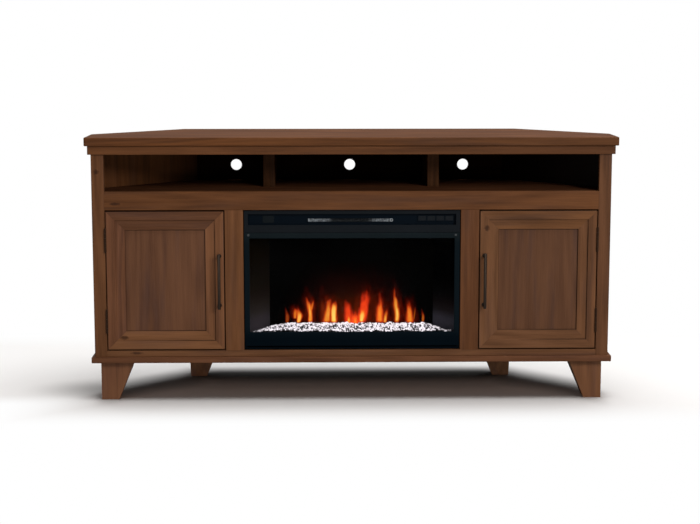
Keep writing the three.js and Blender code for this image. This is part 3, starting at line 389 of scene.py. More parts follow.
def faces_towards(place, direction):
    """1 on the faces that look the given way, and 0 on those that look across it or away."""
    normal = source(place.id_data, "TexCoord", output="Normal")
    return span(vector_calc("DOT_PRODUCT", normal, direction), 0.3, 0.6)


LEFT_EDGE_SHADE = (1.20, 1.04, 0.70, 1)
RIGHT_EDGE_SHADE = (0.91, 0.86, 0.67, 1)


def shaded_edge(place):
    """Painted shade: the slab's front faces get a tint apart from its top, which looks lighter from its
    sheen; the tint is lighter at the left end and darker towards the right.
    """
    along = span(parts_of(place)["X"], -0.8, 0.6, smooth=False)
    edge_shade = mixed_colour(along, LEFT_EDGE_SHADE, RIGHT_EDGE_SHADE)
    return mixed_colour(faces_towards(place, (0, -1, 0)), WHITE, edge_shade)


def darker_to_the_right(place):
    return span(parts_of(place)["X"], -0.35, 0.45, 1.0, 0.74)


STILE_KNOTS = [((-0.8155, 0.7456), (0.0110, 0.0120))]
UPPER_KNOTS = [((-0.7572, 0.6431), (0.0240, 0.0070))]
BOTTOM_KNOTS = [((-0.6965, 0.1581), (0.0230, 0.0055))]
# Each board: the way of its grain, its wood, its tint, its knots and its shade.
BOARDS = {
    "top_slab": (ALONG_X, TOP_WOOD, (0.92, 0.95, 1.10), (), shaded_edge),
    "under_top": (ALONG_X, FRONT_WOOD, (0.95, 0.95, 0.96), (), darker_to_the_right),
    "base_board": (ALONG_X, FRONT_WOOD, (0.83, 0.87, 1.10)),
    "upper_rail": (ALONG_X, FRONT_WOOD, (0.81, 0.80, 0.77), UPPER_KNOTS),
    "bottom_rail": (ALONG_X, FRONT_WOOD, (0.92, 1.02, 1.20), BOTTOM_KNOTS),
    "outer_stile_left": (ALONG_Z, FRONT_WOOD, (0.92, 0.98, 1.10), STILE_KNOTS),
    "outer_stile_right": (ALONG_Z, FRONT_WOOD, (0.84, 0.92, 1.12)),
    "mid_stile_left": (ALONG_Z, FRONT_WOOD, (0.95, 1.0, 1.08)),
    "mid_stile_right": (ALONG_Z, FRONT_WOOD, (0.76, 0.75, 0.78)),
}
for seed, (node, (grain, *looks)) in enumerate(BOARDS.items(), start=1):
    board(node, grain, seed, *looks)


# Sides, feet and inside: the outer faces match the front. The inner faces, dividers, shelves and back board
# are stained dark and have no lacquer, and painted shade makes the inner faces and back board nearly black
# in the open bays at the top, deeper inwards.
LEFT_DEPTH_SHADE = (-0.64, -0.47, 0.71, 0.04)
RIGHT_DEPTH_SHADE = (0.60, 0.80, 0.02, 0.03)
BAY_FLOOR_FROM = 0.640
BAY_FLOOR_TO = 0.655
CUPBOARD_SHADE = 0.30


def mixed_value(share, first, second):
    return output_of("Mix", {0: share, 2: first, 3: second})


def inner_stain_and_shade(place, cupboard, bay):
    """How dark an inner face is: a dark stain in the cupboards, and painted shade in the open bays."""
    height = span(parts_of(place)["Z"], BAY_FLOOR_FROM, BAY_FLOOR_TO)
    return mixed_value(height, cupboard, bay)


def unlit_inside(inward, depth_shade):
    """How dark a side board is: not at all on its outer face, and on the inner one darker inwards, with
    painted shade in the open bays.
    """

    def shade(place):
        bay = span(parts_of(place)["X"], *depth_shade)
        inner = inner_stain_and_shade(place, CUPBOARD_SHADE, bay)
        return mixed_value(faces_towards(place, inward), 1.0, inner)

    return shade


# The back board's inner face: a dark stain in the cupboards, and painted shade, nearly black, in the open
# bays.
def outer_face_only(place):
    return mixed_value(faces_towards(place, (0, 1, 0)), inner_stain_and_shade(place, 0.6, 0.1), 1.0)


# The rear feet's lighter tints are painted light, on feet that stand in the shade under the base.
FOOT_TINTS_AND_LIGHT = {
    "front_left": (1.33, 1.36, 1.40),
    "front_right": (1.14, 1.15, 1.08),
    "rear_left": (1.85, 2.0, 2.1),
    "rear_right": (1.65, 1.9, 2.0),
}
for seed, (foot, tint) in enumerate(FOOT_TINTS_AND_LIGHT.items(), start=50):
    board(f"foot_{foot}", ALONG_Z, seed, PANEL_WOOD, tint)
SIDES = (("left", -1, LEFT_DEPTH_SHADE), ("right", 1, RIGHT_DEPTH_SHADE))
for seed, (side, sign, depth_shade) in enumerate(SIDES, start=10):
    side_shade = unlit_inside((-sign, 0, 0), depth_shade)
    diagonal_shade = unlit_inside((-sign * math.sqrt(0.5), -math.sqrt(0.5), 0), depth_shade)
    board(f"side_panel_{side}", ALONG_Z, seed, FRONT_WOOD, shade=side_shade)
    board(f"diagonal_panel_{side}", ALONG_Z, seed + 2, FRONT_WOOD, shade=diagonal_shade)
    board(f"media_divider_{side}", ALONG_Z, seed + 4, INSIDE_WOOD, (2.4, 2.5, 2.5), lacquer=0.02)
    board(f"bay_partition_{side}", ALONG_Z, seed + 6, INSIDE_WOOD, (2.6, 2.6, 2.8), lacquer=0.02)
shelf_wood = wood("wood_shelves", ALONG_X, 18, INSIDE_WOOD, (4.3, 4.3, 4.8), lacquer=0.0)
for node in ("media_shelf", "cupboard_shelf_left", "cupboard_shelf_right"):
    dress(node, shelf_wood)
board("back_panel", ALONG_X, 19, INSIDE_WOOD, (3, 3, 3), shade=outer_face_only, lacquer=0.0)


# Doors: four mitred strips of one stepped section round a flat panel. The grain follows each strip and
# stands upright in the panel, and painted shade lies in the steps and round the edge as thin darker lines.
STEP_INSETS = (0.029, 0.0605)
SHADE_LINE_WIDTH = 0.0017
LEFT_DOOR_KNOTS = [((-0.7374, 0.2077), (0.0190, 0.0085))]
RIGHT_DOOR_KNOTS = [((0.4336, 0.5632), (0.0120, 0.0125))]
# Each strip or panel: where in the figure it is cut, its tint, and its knots.
DOOR_PARTS = {
    "left_top_rail": (33, (0.77, 0.82, 1.03)),
    "left_bottom_rail": (22, (1.20, 1.34, 1.55), LEFT_DOOR_KNOTS),
    "left_hinge_stile": (35, (1.04, 1.11, 1.48)),
    "left_latch_stile": (39, (1.16, 1.26, 1.52)),
    "left_panel": (28, (0.89, 0.90, 0.92)),
    "right_top_rail": (21, (0.97, 1.05, 1.10)),
    "right_bottom_rail": (23, (0.95, 1.08, 1.32)),
    "right_hinge_stile": (25, (0.93, 1.03, 1.22)),
    "right_latch_stile": (27, (1.00, 1.13, 1.34), RIGHT_DOOR_KNOTS),
    "right_panel": (29, (0.71, 0.72, 0.71)),
}


def painted_step_shade(middle, half_width, half_height):
    """The painted shade on a door: a dark line in each step, darker to the right, and one round its edge."""

    def shade(place):
        across, _, up = parts_of(vector_calc("SUBTRACT", place, middle))
        inset_x = calc("SUBTRACT", half_width, calc("ABSOLUTE", across))
        inset_z = calc("SUBTRACT", half_height, calc("ABSOLUTE", up))
        inset = calc("MINIMUM", inset_x, inset_z)
        outer_line = span(across, -0.12, 0.12, 1.0, 0.36)
        outer_line = calc("MAXIMUM", outer_line, span(up, 0.14, 0.19))
        inner_line = span(across, -0.12, 0.12, 0.62, 0.36)
        lightness = span(inset, 0.0004, 0.0012, 0.3, 1.0)
        for step, darkest in zip(STEP_INSETS, (outer_line, inner_line)):
            gap = calc("ABSOLUTE", calc("SUBTRACT", inset, step))
            line = span(gap, SHADE_LINE_WIDTH * 0.3, SHADE_LINE_WIDTH, darkest, 1.0)
            lightness = calc("MINIMUM", lightness, line)
        return lightness

    return shade


for side in ("left", "right"):
    stiles = [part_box(f"{side}_door_{kind}_stile") for kind in ("hinge", "latch")]
    (low, _), (_, high) = sorted(stiles, key=lambda box: box[0].x)
    middle = ((low.x + high.x) / 2, 0, (low.z + high.z) / 2)
    door_shade = painted_step_shade(middle, (high.x - low.x) / 2, (high.z - low.z) / 2)
    for part in ("top_rail", "bottom_rail", "hinge_stile", "latch_stile", "panel"):
        seed, *looks = DOOR_PARTS[f"{side}_{part}"]
        grain = ALONG_X if "rail" in part else ALONG_Z
        colours = PANEL_WOOD if part == "panel" else FRONT_WOOD
        board(f"{side}_door_{part}", grain, seed, colours, *looks, shade=door_shade)


# Hinges: steel butt hinges with a dark bronze finish, let into the door's edge and the stile, each leaf
# held by three cross-head screws that show when the door is open.
MOTTLE = 0.16
SPECKLE_DEPTH = 0.00008


def metal(name, colour, roughness, metallic, specular=0.5, shade=None):
    """A mottled and finely speckled finish, for metal and for moulded or powder-coated parts."""
    material, tree = new_material(name)
    place = object_place(tree)
    speckle = noise_value(place, 900.0, 3.0, 0.6)
    cloud = noise_value(place, 14.0, 3.0)
    cloud = span(cloud, 0.0, 1.0, 1 - MOTTLE, 1 + MOTTLE, smooth=False)
    tint = vector_calc("MULTIPLY", colour, cloud)
    if shade:
        tint = vector_calc("MULTIPLY", tint, shade(place))
    relief = {"Strength": 0.3, "Distance": SPECKLE_DEPTH, "Height": speckle}
    surface = {
        "Base Color": tint,
        "Roughness": span(speckle, 0.0, 1.0, roughness - 0.05, roughness + 0.05, smooth=False),
        "Metallic": metallic,
        "Normal": output_of("Bump", relief),
        "Specular IOR Level": specular,
    }
    show_surface(surface)
    return material


def shape_tree(name, sizes):
    """An empty Geometry Nodes tree that takes such sizes, and the sockets inside it that carry them."""
    kinds = {float: "Float", int: "Int", tuple: "Vector"}
    takes = {label: kinds.get(type(value), "Material") for label, value in sizes.items()}
    return new_group(name, "GeometryNodeTree", {"Geometry": "Geometry"} | takes, {"Geometry": "Geometry"})


def finish_shape(instances, material):
    real = output_of("GeometryNodeRealizeInstances", {0: instances})
    real = output_of("GeometryNodeSetShadeSmooth", {0: real, 2: False})
    painted = output_of("GeometryNodeSetMaterial", {0: real, "Material": material})
    add_node(painted.id_data, "NodeGroupOutput", {0: painted})


def grown_piece(name, tree, carrier, sizes, body):
    """The plain mesh that a tree makes on a carrier mesh, as a piece of a body."""
    holder = new_object(name + "_carrier", carrier)
    modifier = holder.modifiers.new(name, "NODES")
    modifier.node_group = tree
    inputs = [item for item in tree.interface.items_tree if item.in_out == "INPUT"]
    identifiers = {item.name: item.identifier for item in inputs}
    for label, value in sizes.items():
        modifier[identifiers[label]] = value
    depsgraph = bpy.context.evaluated_depsgraph_get()
    shaped = holder.evaluated_get(depsgraph)
    mesh = bpy.data.meshes.new_from_object(shaped, preserve_all_data_layers=True, depsgraph=depsgraph)
    mesh.name = name
    bpy.data.objects.remove(holder)
    piece = new_object(name, mesh)
    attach(piece, body)
    return piece


def screw_sizes(radius, height, slot_width, finish):
    return {"Head Radius": radius, "Head Height": height, "Slot Width": slot_width, "Finish": finish}


def screw_tree():
    tree, given = shape_tree("cross_head_screws", screw_sizes(0.0, 0.0, 0.0, None))
    radius, height, slot_width = given["Head Radius"], given["Head Height"], given["Slot Width"]
    top, slot_length = product(radius, 0.7), product(radius, 1.1)
    head = {"Vertices": 20, "Radius Top": top, "Radius Bottom": radius, "Depth": height}
    head = output_of("GeometryNodeMeshCone", head)
    cross = add_node(tree, "GeometryNodeJoinGeometry")
    for first, second in ((slot_length, slot_width), (slot_width, slot_length)):
        size = output_of("CombineXYZ", {0: first, 1: second, 2: height})
        slot = output_of("GeometryNodeMeshCube", {"Size": size})
        tree.links.new(slot, cross.inputs[0])
    lift = output_of("CombineXYZ", {2: height})
    cross = output_of("GeometryNodeTransform", {"Geometry": cross.outputs[0], "Translation": lift})
    cut = {"Mesh 1": head, "Mesh 2": cross, "Self Intersection": True}
    cut = output_of("GeometryNodeMeshBoolean", cut, operation="DIFFERENCE", solver="EXACT")
    facing = source(tree, "GeometryNodeInputNamedAttribute", {"Name": "facing"}, data_type="FLOAT_VECTOR")
    turn = output_of("FunctionNodeAlignRotationToVector", {"Vector": facing}, axis="Z")
    placed = {"Points": given[0], "Instance": cut, "Rotation": turn}
    placed = output_of("GeometryNodeInstanceOnPoints", placed)
    finish_shape(placed, given["Finish"])
    return tree


SCREW_TREE = screw_tree()


def cross_head_screws(name, places, head, finish, body):
    """Screws of one kind, at places of (point, way it faces). A head has a radius, height and slot width."""
    carrier = new_mesh(name + "_places", [point for point, _ in places])
    facing = carrier.attributes.new("facing", "FLOAT_VECTOR", "POINT")
    for index, (_, way) in enumerate(places):
        facing.data[index].vector = way
    return grown_piece(name, SCREW_TREE, carrier, screw_sizes(*head, finish), body)


HINGE_SCREW_HEAD = (0.0032, 0.00018, 0.0009)
HINGE_SCREWS = ((-0.026, 0.011), (0.0, 0.006), (0.026, 0.011))
LEAF_FACE = 0.00024
bronze = metal("dark_bronze", (0.020, 0.0092, 0.0042), 0.45, 0.55, 0.1)
for side, sign in (("left", -1), ("right", 1)):
    door_screws, frame_screws = [], []
    for level in ("lower", "upper"):
        dress(f"{side}_door_hinge_leaf_{level}", bronze)
        dress(f"hinge_frame_leaf_{side}_{level}", bronze)
        low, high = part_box(f"{side}_door_hinge_leaf_{level}")
        gap_x, middle_z = (low.x + high.x) / 2, (low.z + high.z) / 2
        for rise, from_back in HINGE_SCREWS:
            for screws, way in ((door_screws, sign), (frame_screws, -sign)):
                point = (gap_x - way * LEAF_FACE, high.y - from_back, middle_z + rise)
                screws.append((point, (way, 0, 0)))
    for kind, screws, body in (("door", door_screws, f"{side}_door"), ("frame", frame_screws, "cabinet")):
        name = f"{side}_{kind}_hinge_screws"
        cross_head_screws(name, screws, HINGE_SCREW_HEAD, bronze, body)


# Door handles: a straight round bar on two posts, which flare into a foot on the stile. Turned steel with
# the same dark bronze finish, a little darker at the lower end and lighter towards the top.
def turned_shape(profile, centre, axis, sides=40):
    """A shape turned round an axis, from its profile of (distance along, radius) in millimetres."""
    axes = [Vector((1, 0, 0)), Vector((0, 1, 0)), Vector((0, 0, 1))]
    first = "xyz".index(axis)
    along, across, third = axes[first:] + axes[:first]
    vertices, rings, faces = [], [], []
    for distance, radius in profile:
        middle = Vector(centre) + along * distance / 1000
        count = sides if radius else 1
        rings.append([len(vertices) + step % count for step in range(sides + 1)])
        for step in range(count):
            angle = 2 * math.pi * step / sides
            out = across * math.cos(angle) + third * math.sin(angle)
            vertices.append(middle + out * radius / 1000)
    for ring, after in zip(rings, rings[1:]):
        for step in range(sides):
            face = (ring[step], ring[step + 1], after[step + 1], after[step])
            faces.append(tuple(dict.fromkeys(face)))
    return vertices, faces


def gathered(shapes):
    vertices, faces = [], []
    for shape_vertices, shape_faces in shapes:
        start = len(vertices)
        vertices += shape_vertices
        faces += [tuple(start + index for index in face) for face in shape_faces]
    return vertices, faces


def rounded_end(radius, fillet, start, direction, steps=6):
    """The profile of a rounded end, from the middle of its face out to the full radius."""
    points = [(start, 0), (start, radius - fillet)]
    for step in range(1, steps + 1):
        angle = math.pi / 2 * step / steps
        distance = start + direction * fillet * (1 - math.cos(angle))
        points.append((distance, radius - fillet * (1 - math.sin(angle))))
    return points


# The finish is darker at the handle's lower end and lighter towards its top.
def lighter_upwards(place):
    return span(parts_of(place)["Z"], 0.30, 0.42, 0.75, 1.15)


BAR_RADIUS = 4.75
BAR_FILLET = 1.8
POST_RADIUS = 3.6
POST_SPACING = 160.0
FOOT_RADIUS = 7.0
FOOT_THICKNESS = 2.2
FLARE_LENGTH = 8.0
handle_bronze = metal("handle_bronze", (0.022, 0.0150, 0.0105), 0.34, 0.8, 0.3, lighter_upwards)
for side in ("left", "right"):
    low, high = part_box(f"{side}_door_handle")
    bar_x, bar_y = (low.x + high.x) / 2, low.y + BAR_RADIUS / 1000
    bar_low = rounded_end(BAR_RADIUS, BAR_FILLET, 0.0, 1)
    bar_high = rounded_end(BAR_RADIUS, BAR_FILLET, (high.z - low.z) * 1000, -1)
    shapes = [turned_shape(bar_low + bar_high[::-1], (bar_x, bar_y, low.z), "z")]
    reach = (high.y - bar_y) * 1000
    post = [(0.0, 0), (0.5, POST_RADIUS)]
    for step in range(6):
        flare = (FOOT_RADIUS - POST_RADIUS) * (step / 5.5) ** 3
        post.append((reach - FLARE_LENGTH + step, POST_RADIUS + flare))
    post += [(reach - FOOT_THICKNESS, FOOT_RADIUS), (reach, FOOT_RADIUS), (reach, 0)]
    for sign in (-1, 1):
        post_z = (low.z + high.z) / 2 + sign * POST_SPACING / 2000
        shapes.append(turned_shape(post, (bar_x, bar_y, post_z), "y"))
    handle = mesh_piece(f"{side}_bar_handle", *gathered(shapes), handle_bronze, f"{side}_door", 50)
    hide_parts(f"{side}_door_handle")


# Cupboard fittings: a thin steel strike plate, held by two screws on the back of each latch stile, for
# the magnetic catch, and steel pins that carry the shelves, pushed into holes in the partition.
def plate_shape(centre, size, corner, layers, facing, corner_steps=6):
    """A plate with rounded corners, from its layers of (height, inset) in millimetres. It faces
    backwards, at 1, or forwards, at -1."""
    vertices = []
    for height, inset in layers:
        for quarter, (side_x, side_z) in enumerate(((1, 1), (-1, 1), (-1, -1), (1, -1))):
            for step in range(corner_steps + 1):
                angle = math.pi / 2 * (quarter + step / corner_steps)
                x = side_x * (size[0] / 2 - corner) + (corner - inset) * math.cos(angle)
                z = side_z * (size[1] / 2 - corner) + (corner - inset) * math.sin(angle)
                vertices.append(Vector(centre) + Vector((x, facing * height, z)) / 1000)
    around = len(vertices) // len(layers)
    faces = [tuple(range(around)), tuple(reversed(range(len(vertices) - around, len(vertices))))]
    for start in range(0, len(vertices) - around, around):
        for step in range(around):
            after = (step + 1) % around
            faces.append((start + step, start + around + step, start + around + after, start + after))
    return vertices, [face[::facing] for face in faces]


PLATE_SIZE = (11.0, 40.0)
PLATE_CORNER = 2.5
PLATE_LAYERS = ((-0.4, 0.0), (0.08, 0.0), (0.15, 0.12))
PLATE_ASIDE = 0.4185
PLATE_HEIGHT = 0.5595
PLATE_SCREW_HEAD = (0.0028, 0.00009, 0.0008)
PLATE_SCREW_RISE = 0.013
PLATE_SCREW_SEAT = 0.00014
PIN_PROFILE = [(-0.5, 0), (-0.5, 3.0), (7.2, 3.0), (8.0, 2.2), (8.0, 0)]
PIN_DROP = 0.00305
PIN_PLACES = (-0.11, 0.15)
PARTITION_FACE = 0.409
plated_steel = metal("plated_steel", (0.26, 0.255, 0.245), 0.38, 0.7, 0.3)
for side, sign in (("left", -1), ("right", 1)):
    body = f"{side}_door"
    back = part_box(f"{side}_door_latch_stile")[1].y
    plate_x = sign * PLATE_ASIDE
    plate = plate_shape((plate_x, back, PLATE_HEIGHT), PLATE_SIZE, PLATE_CORNER, PLATE_LAYERS, 1)
    plate = mesh_piece(f"{side}_strike_plate", *plate, plated_steel, body)
    screws = [
        ((plate_x, back + PLATE_SCREW_SEAT, PLATE_HEIGHT + rise), (0, 1, 0))
        for rise in (-PLATE_SCREW_RISE, PLATE_SCREW_RISE)
    ]
    screws = cross_head_screws(f"{side}_plate_screws", screws, PLATE_SCREW_HEAD, plated_steel, body)
    pin_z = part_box(f"cupboard_shelf_{side}")[0].z - PIN_DROP
    profile = [(sign * distance, radius) for distance, radius in PIN_PROFILE[::sign]]
    pins = [turned_shape(profile, (sign * PARTITION_FACE, y, pin_z), "x", sides=20) for y in PIN_PLACES]
    pins = mesh_piece(f"{side}_shelf_pins", *gathered(pins), plated_steel, "cabinet", 40)


# Fireplace front: folded steel in a fine black powder coat, with a shallow channel for the air outlet and
# the keys, painted darker for the shade in it, and smoked glass in the frame below it. The frame carries
# painted light, lighter at its top and darker at its bottom. A screw holds each top corner of the frame.
CHANNEL_SHADE = (0.22, 0.44, 0.66, 1)
FRAME_LIGHT_AND_SHADE = (
    (0.0, (0.04, 0.22, 0.30)),
    (0.10, (0.48, 0.56, 0.59)),
    (0.90, (0.56, 0.61, 0.59)),
    (1.0, (1.25, 1.02, 0.86)),
)
FRAME_SCREW_ASIDE = 0.3335
FRAME_SCREW_DROP = 0.0072
FRAME_SCREW_SEAT = 0.0001
FRAME_SCREW_HEAD = (0.0044, 0.0016, 0.0014)


# Painted shade: the recessed channel is painted darker than the rest of the fascia.
def shaded_channel(place):
    inside = span(parts_of(place)["Y"], -0.192, -0.187)
    return mixed_colour(inside, WHITE, CHANNEL_SHADE)


def frame_shade(place):
    """Painted light and shade: the frame is darkest along its bottom bar and lightest along its top one, as
    if lit from above.
    """
    height = span(parts_of(place)["Z"], 0.205, 0.545, smooth=False)
    return colour_ramp(height, FRAME_LIGHT_AND_SHADE)


dress("heater_fascia", metal("fascia_black", (0.0076, 0.0092, 0.0112), 0.42, 0.0, 0.015, shaded_channel))
frame_black = metal("frame_black", (0.0052, 0.0100, 0.0140), 0.42, 0.0, 0.015, frame_shade)
key_plastic = metal("key_plastic", (0.0080, 0.0098, 0.0120), 0.5, 0.0, 0.03)
dress("glass_frame", frame_black)
dress("insert_housing", frame_black)
for key in range(1, 5):
    dress(f"push_key_{key}", key_plastic)
frame_low, frame_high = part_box("glass_frame")
screw_y, screw_z = frame_low.y + FRAME_SCREW_SEAT, frame_high.z - FRAME_SCREW_DROP
screws = [((sign * FRAME_SCREW_ASIDE, screw_y, screw_z), (0, -1, 0)) for sign in (-1, 1)]
screw_steel = metal("frame_screw_steel", (0.038, 0.042, 0.044), 0.4, 0.3, 0.1)
screws = cross_head_screws("glass_frame_screws", screws, FRAME_SCREW_HEAD, screw_steel, "cabinet")

smoked_glass, tree = new_material("smoked_glass")
clear = source(tree, "BsdfTransparent", {"Color": (0.62, 0.63, 0.64, 1)})
shine = source(tree, "BsdfGlossy", {"Color": (0.8, 0.85, 0.9, 1), "Roughness": 0.02})
smear = noise_value(object_place(tree), 6.0, 2.0)
gloss = span(smear, 0.3, 0.7, 0.0002, 0.0012)
show_surface({0: gloss, 1: clear, 2: shine}, "MixShader")
dress("glass_pane", smoked_glass)


# Receiver window: a small plain lens of smoked plastic with rounded corners and a bevelled edge. It is
# stuck in the left part of the channel, level with the channel's middle.
LENS_SIZE = (37.0, 24.0)
LENS_CORNER = 4.0
LENS_LAYERS = ((-0.3, 0.0), (0.6, 0.0), (1.1, 0.5))
LENS_X = -0.269
CHANNEL_DEPTH = 0.014
CHANNEL_MIDDLE_ABOVE_OUTLET = 0.0034
lens_plastic = metal("lens_plastic", (0.0052, 0.0076, 0.0094), 0.35, 0.0, 0.02)
lens_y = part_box("heater_fascia")[0].y + CHANNEL_DEPTH
lens_z = (sum(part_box("heater_grille"), Vector()) / 2).z + CHANNEL_MIDDLE_ABOVE_OUTLET
lens = plate_shape((LENS_X, lens_y, lens_z), LENS_SIZE, LENS_CORNER, LENS_LAYERS, -1)
mesh_piece("receiver_lens", *lens, lens_plastic, "cabinet", 30)


# Air outlet: a slot covered by expanded metal in a thin rim, darker in patches along its middle and bright
# at its ends, with a small round eye at the right-hand end of it.
LEFT_END_BRIGHTNESS = (-0.060, -0.085, 0.09, 1.0)
RIGHT_END_BRIGHTNESS = (0.048, 0.085, 0.09, 0.85)
EYE_X = 0.1275
EYE_SEAT = 0.0004
EYE_PROFILE = [(0, 0), (0, 4.6), (-1.4, 4.6), (-1.9, 4.2), (-1.9, 3.6), (-1.4, 3.0), (0.6, 2.6), (0.6, 0)]
RIM = 0.0011


def lattice_tree(sizes):
    tree, given = shape_tree("expanded_metal", sizes)
    pitch_x = calc("DIVIDE", given["Width"], given["Columns"])
    pitch_z = calc("DIVIDE", given["Height"], given["Rows"])
    places = {
        "Size X": calc("SUBTRACT", given["Width"], pitch_x),
        "Size Y": calc("SUBTRACT", given["Height"], pitch_z),
        "Vertices X": given["Columns"],
        "Vertices Y": given["Rows"],
    }
    places = output_of("GeometryNodeMeshGrid", places)
    ring = source(tree, "GeometryNodeMeshCircle", {"Vertices": 4, "Radius": 0.5})
    size = output_of("CombineXYZ", {0: pitch_x, 1: pitch_z, 2: 1.0})
    diamond = output_of("GeometryNodeTransform", {"Geometry": ring, "Scale": size})
    diamond = output_of("GeometryNodeMeshToCurve", {0: diamond})
    section = {"Resolution": 5, "Radius": given["Strand Radius"]}
    section = output_of("GeometryNodeCurvePrimitiveCircle", section)
    strand = output_of("GeometryNodeCurveToMesh", {"Curve": diamond, "Profile Curve": section})
    mesh = output_of("GeometryNodeInstanceOnPoints", {"Points": places, "Instance": strand})
    upright = {"Geometry": mesh, "Rotation": (math.radians(90), 0, 0), "Translation": given["Centre"]}
    finish_shape(output_of("GeometryNodeTransform", upright), given["Finish"])
    return tree


# The mesh is darker in patches along its middle and bright at its ends.
def darker_along_middle(place):
    side = parts_of(place)["X"]
    ends = span(side, *LEFT_END_BRIGHTNESS)
    ends = calc("MAXIMUM", ends, span(side, *RIGHT_END_BRIGHTNESS))
    return product(ends, span(noise_value(place, 170.0, 3.0), 0.35, 0.65, 0.35, 1.5))


def shaded_hollow(place):
    """Painted shade: the eye's hollow middle is painted dark, and its rim is bright."""
    away = vector_calc("MULTIPLY", vector_calc("SUBTRACT", place, eye_centre), (1, 0, 1))
    return span(vector_calc("LENGTH", away), 0.0022, 0.0030, 0.06, 2.6)


low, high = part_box("heater_grille")
centre = (low + high) / 2
eye_centre = (EYE_X, low.y + EYE_SEAT, centre.z)
outlet_metal = metal("outlet_metal", (0.42, 0.46, 0.50), 0.5, 0.0, 0.02, darker_along_middle)
eye_metal = metal("eye_metal", (0.15, 0.16, 0.17), 0.5, 0.0, 0.05, shaded_hollow)
rim_metal = metal("outlet_rim", (0.0040, 0.0060, 0.0080), 0.5, 0.0, 0.01)
sizes = {
    "Width": high.x - low.x - 2 * RIM,
    "Height": high.z - low.z - 2 * RIM,
    "Columns": 40,
    "Rows": 3,
    "Strand Radius": 0.0006,
    "Centre": tuple(centre),
    "Finish": outlet_metal,
}
carrier = new_mesh("outlet_carrier")
lattice = grown_piece("outlet_lattice", lattice_tree(sizes), carrier, sizes, "cabinet")
rim_vertices, rim_faces = [], []
for inset, y in ((0, low.y), (RIM, low.y), (RIM, high.y), (0, high.y)):
    left, right, bottom, top = low.x + inset, high.x - inset, low.z + inset, high.z - inset
    rim_vertices += [(left, y, bottom), (right, y, bottom), (right, y, top), (left, y, top)]
for ring in range(4):
    start, next_start = 4 * ring, 4 * ((ring + 1) % 4)
    for corner in range(4):
        after = (corner + 1) % 4
        rim_faces.append((start + corner, start + after, next_start + after, next_start + corner))
rim = mesh_piece("outlet_rim", rim_vertices, rim_faces, rim_metal, "cabinet")
eye = turned_shape(EYE_PROFILE[::-1], eye_centre, "y")
eye = mesh_piece("outlet_eye", *eye, eye_metal, "cabinet", 35)
for piece in (lattice, rim, eye):
    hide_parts("heater_grille")


# Firebox: grey painted side reflectors and pan, and a black screen behind the flame light. The reflectors
# carry painted light and shade: lighter low down, where the glowing bed lights them, darker upwards, and
# dark along the very bottom.
WALL_LIGHT_FROM = 0.18
WALL_LIGHT_TO = 0.50
LEFT_WALL_LIGHT = (
    (0.0, (0.02, 0.02, 0.02)),
    (0.04, (1.37, 1.33, 1.50)),
    (0.24, (1.37, 1.33, 1.50)),
    (0.32, (0.97, 0.91, 0.82)),
    (0.41, (0.69, 0.60, 0.47)),
    (0.49, (0.49, 0.37, 0.28)),
    (0.57, (0.34, 0.27, 0.165)),
    (0.74, (0.24, 0.176, 0.11)),
    (0.90, (0.19, 0.13, 0.05)),
)
RIGHT_WALL_LIGHT = (
    (0.0, (0.02, 0.02, 0.02)),
    (0.04, (1.36, 1.60, 2.05)),
    (0.24, (1.36, 1.60, 2.05)),
    (0.32, (0.47, 0.46, 0.50)),
    (0.41, (0.24, 0.19, 0.20)),
    (0.49, (0.09, 0.10, 0.11)),
    (0.57, (0.035, 0.045, 0.045)),
    (0.74, (0.0, 0.002, 0.005)),
)


def painted_wall_light(place):
    """Painted light and shade: the reflectors darken upwards, the left one to a warm grey and the right one
    nearly to black.
    """
    across, _, up = parts_of(place)
    height = span(up, WALL_LIGHT_FROM, WALL_LIGHT_TO, smooth=False)
    left, right = colour_ramp(height, LEFT_WALL_LIGHT), colour_ramp(height, RIGHT_WALL_LIGHT)
    return mixed_colour(span(across, -0.05, 0.05), left, right)


dress("firebox_liner", metal("side_steel", (0.100, 0.086, 0.084), 0.5, 0.0, 0.01, painted_wall_light))
dress("flame_screen", metal("screen_black", (0.003, 0.0025, 0.002), 0.6, 0.0, 0.01))


# Flames: light that the turning spindle throws through the screen. Each tongue of it is a soft-edged
# ribbon just in front of the screen, with a faint red halo behind the stronger ones.

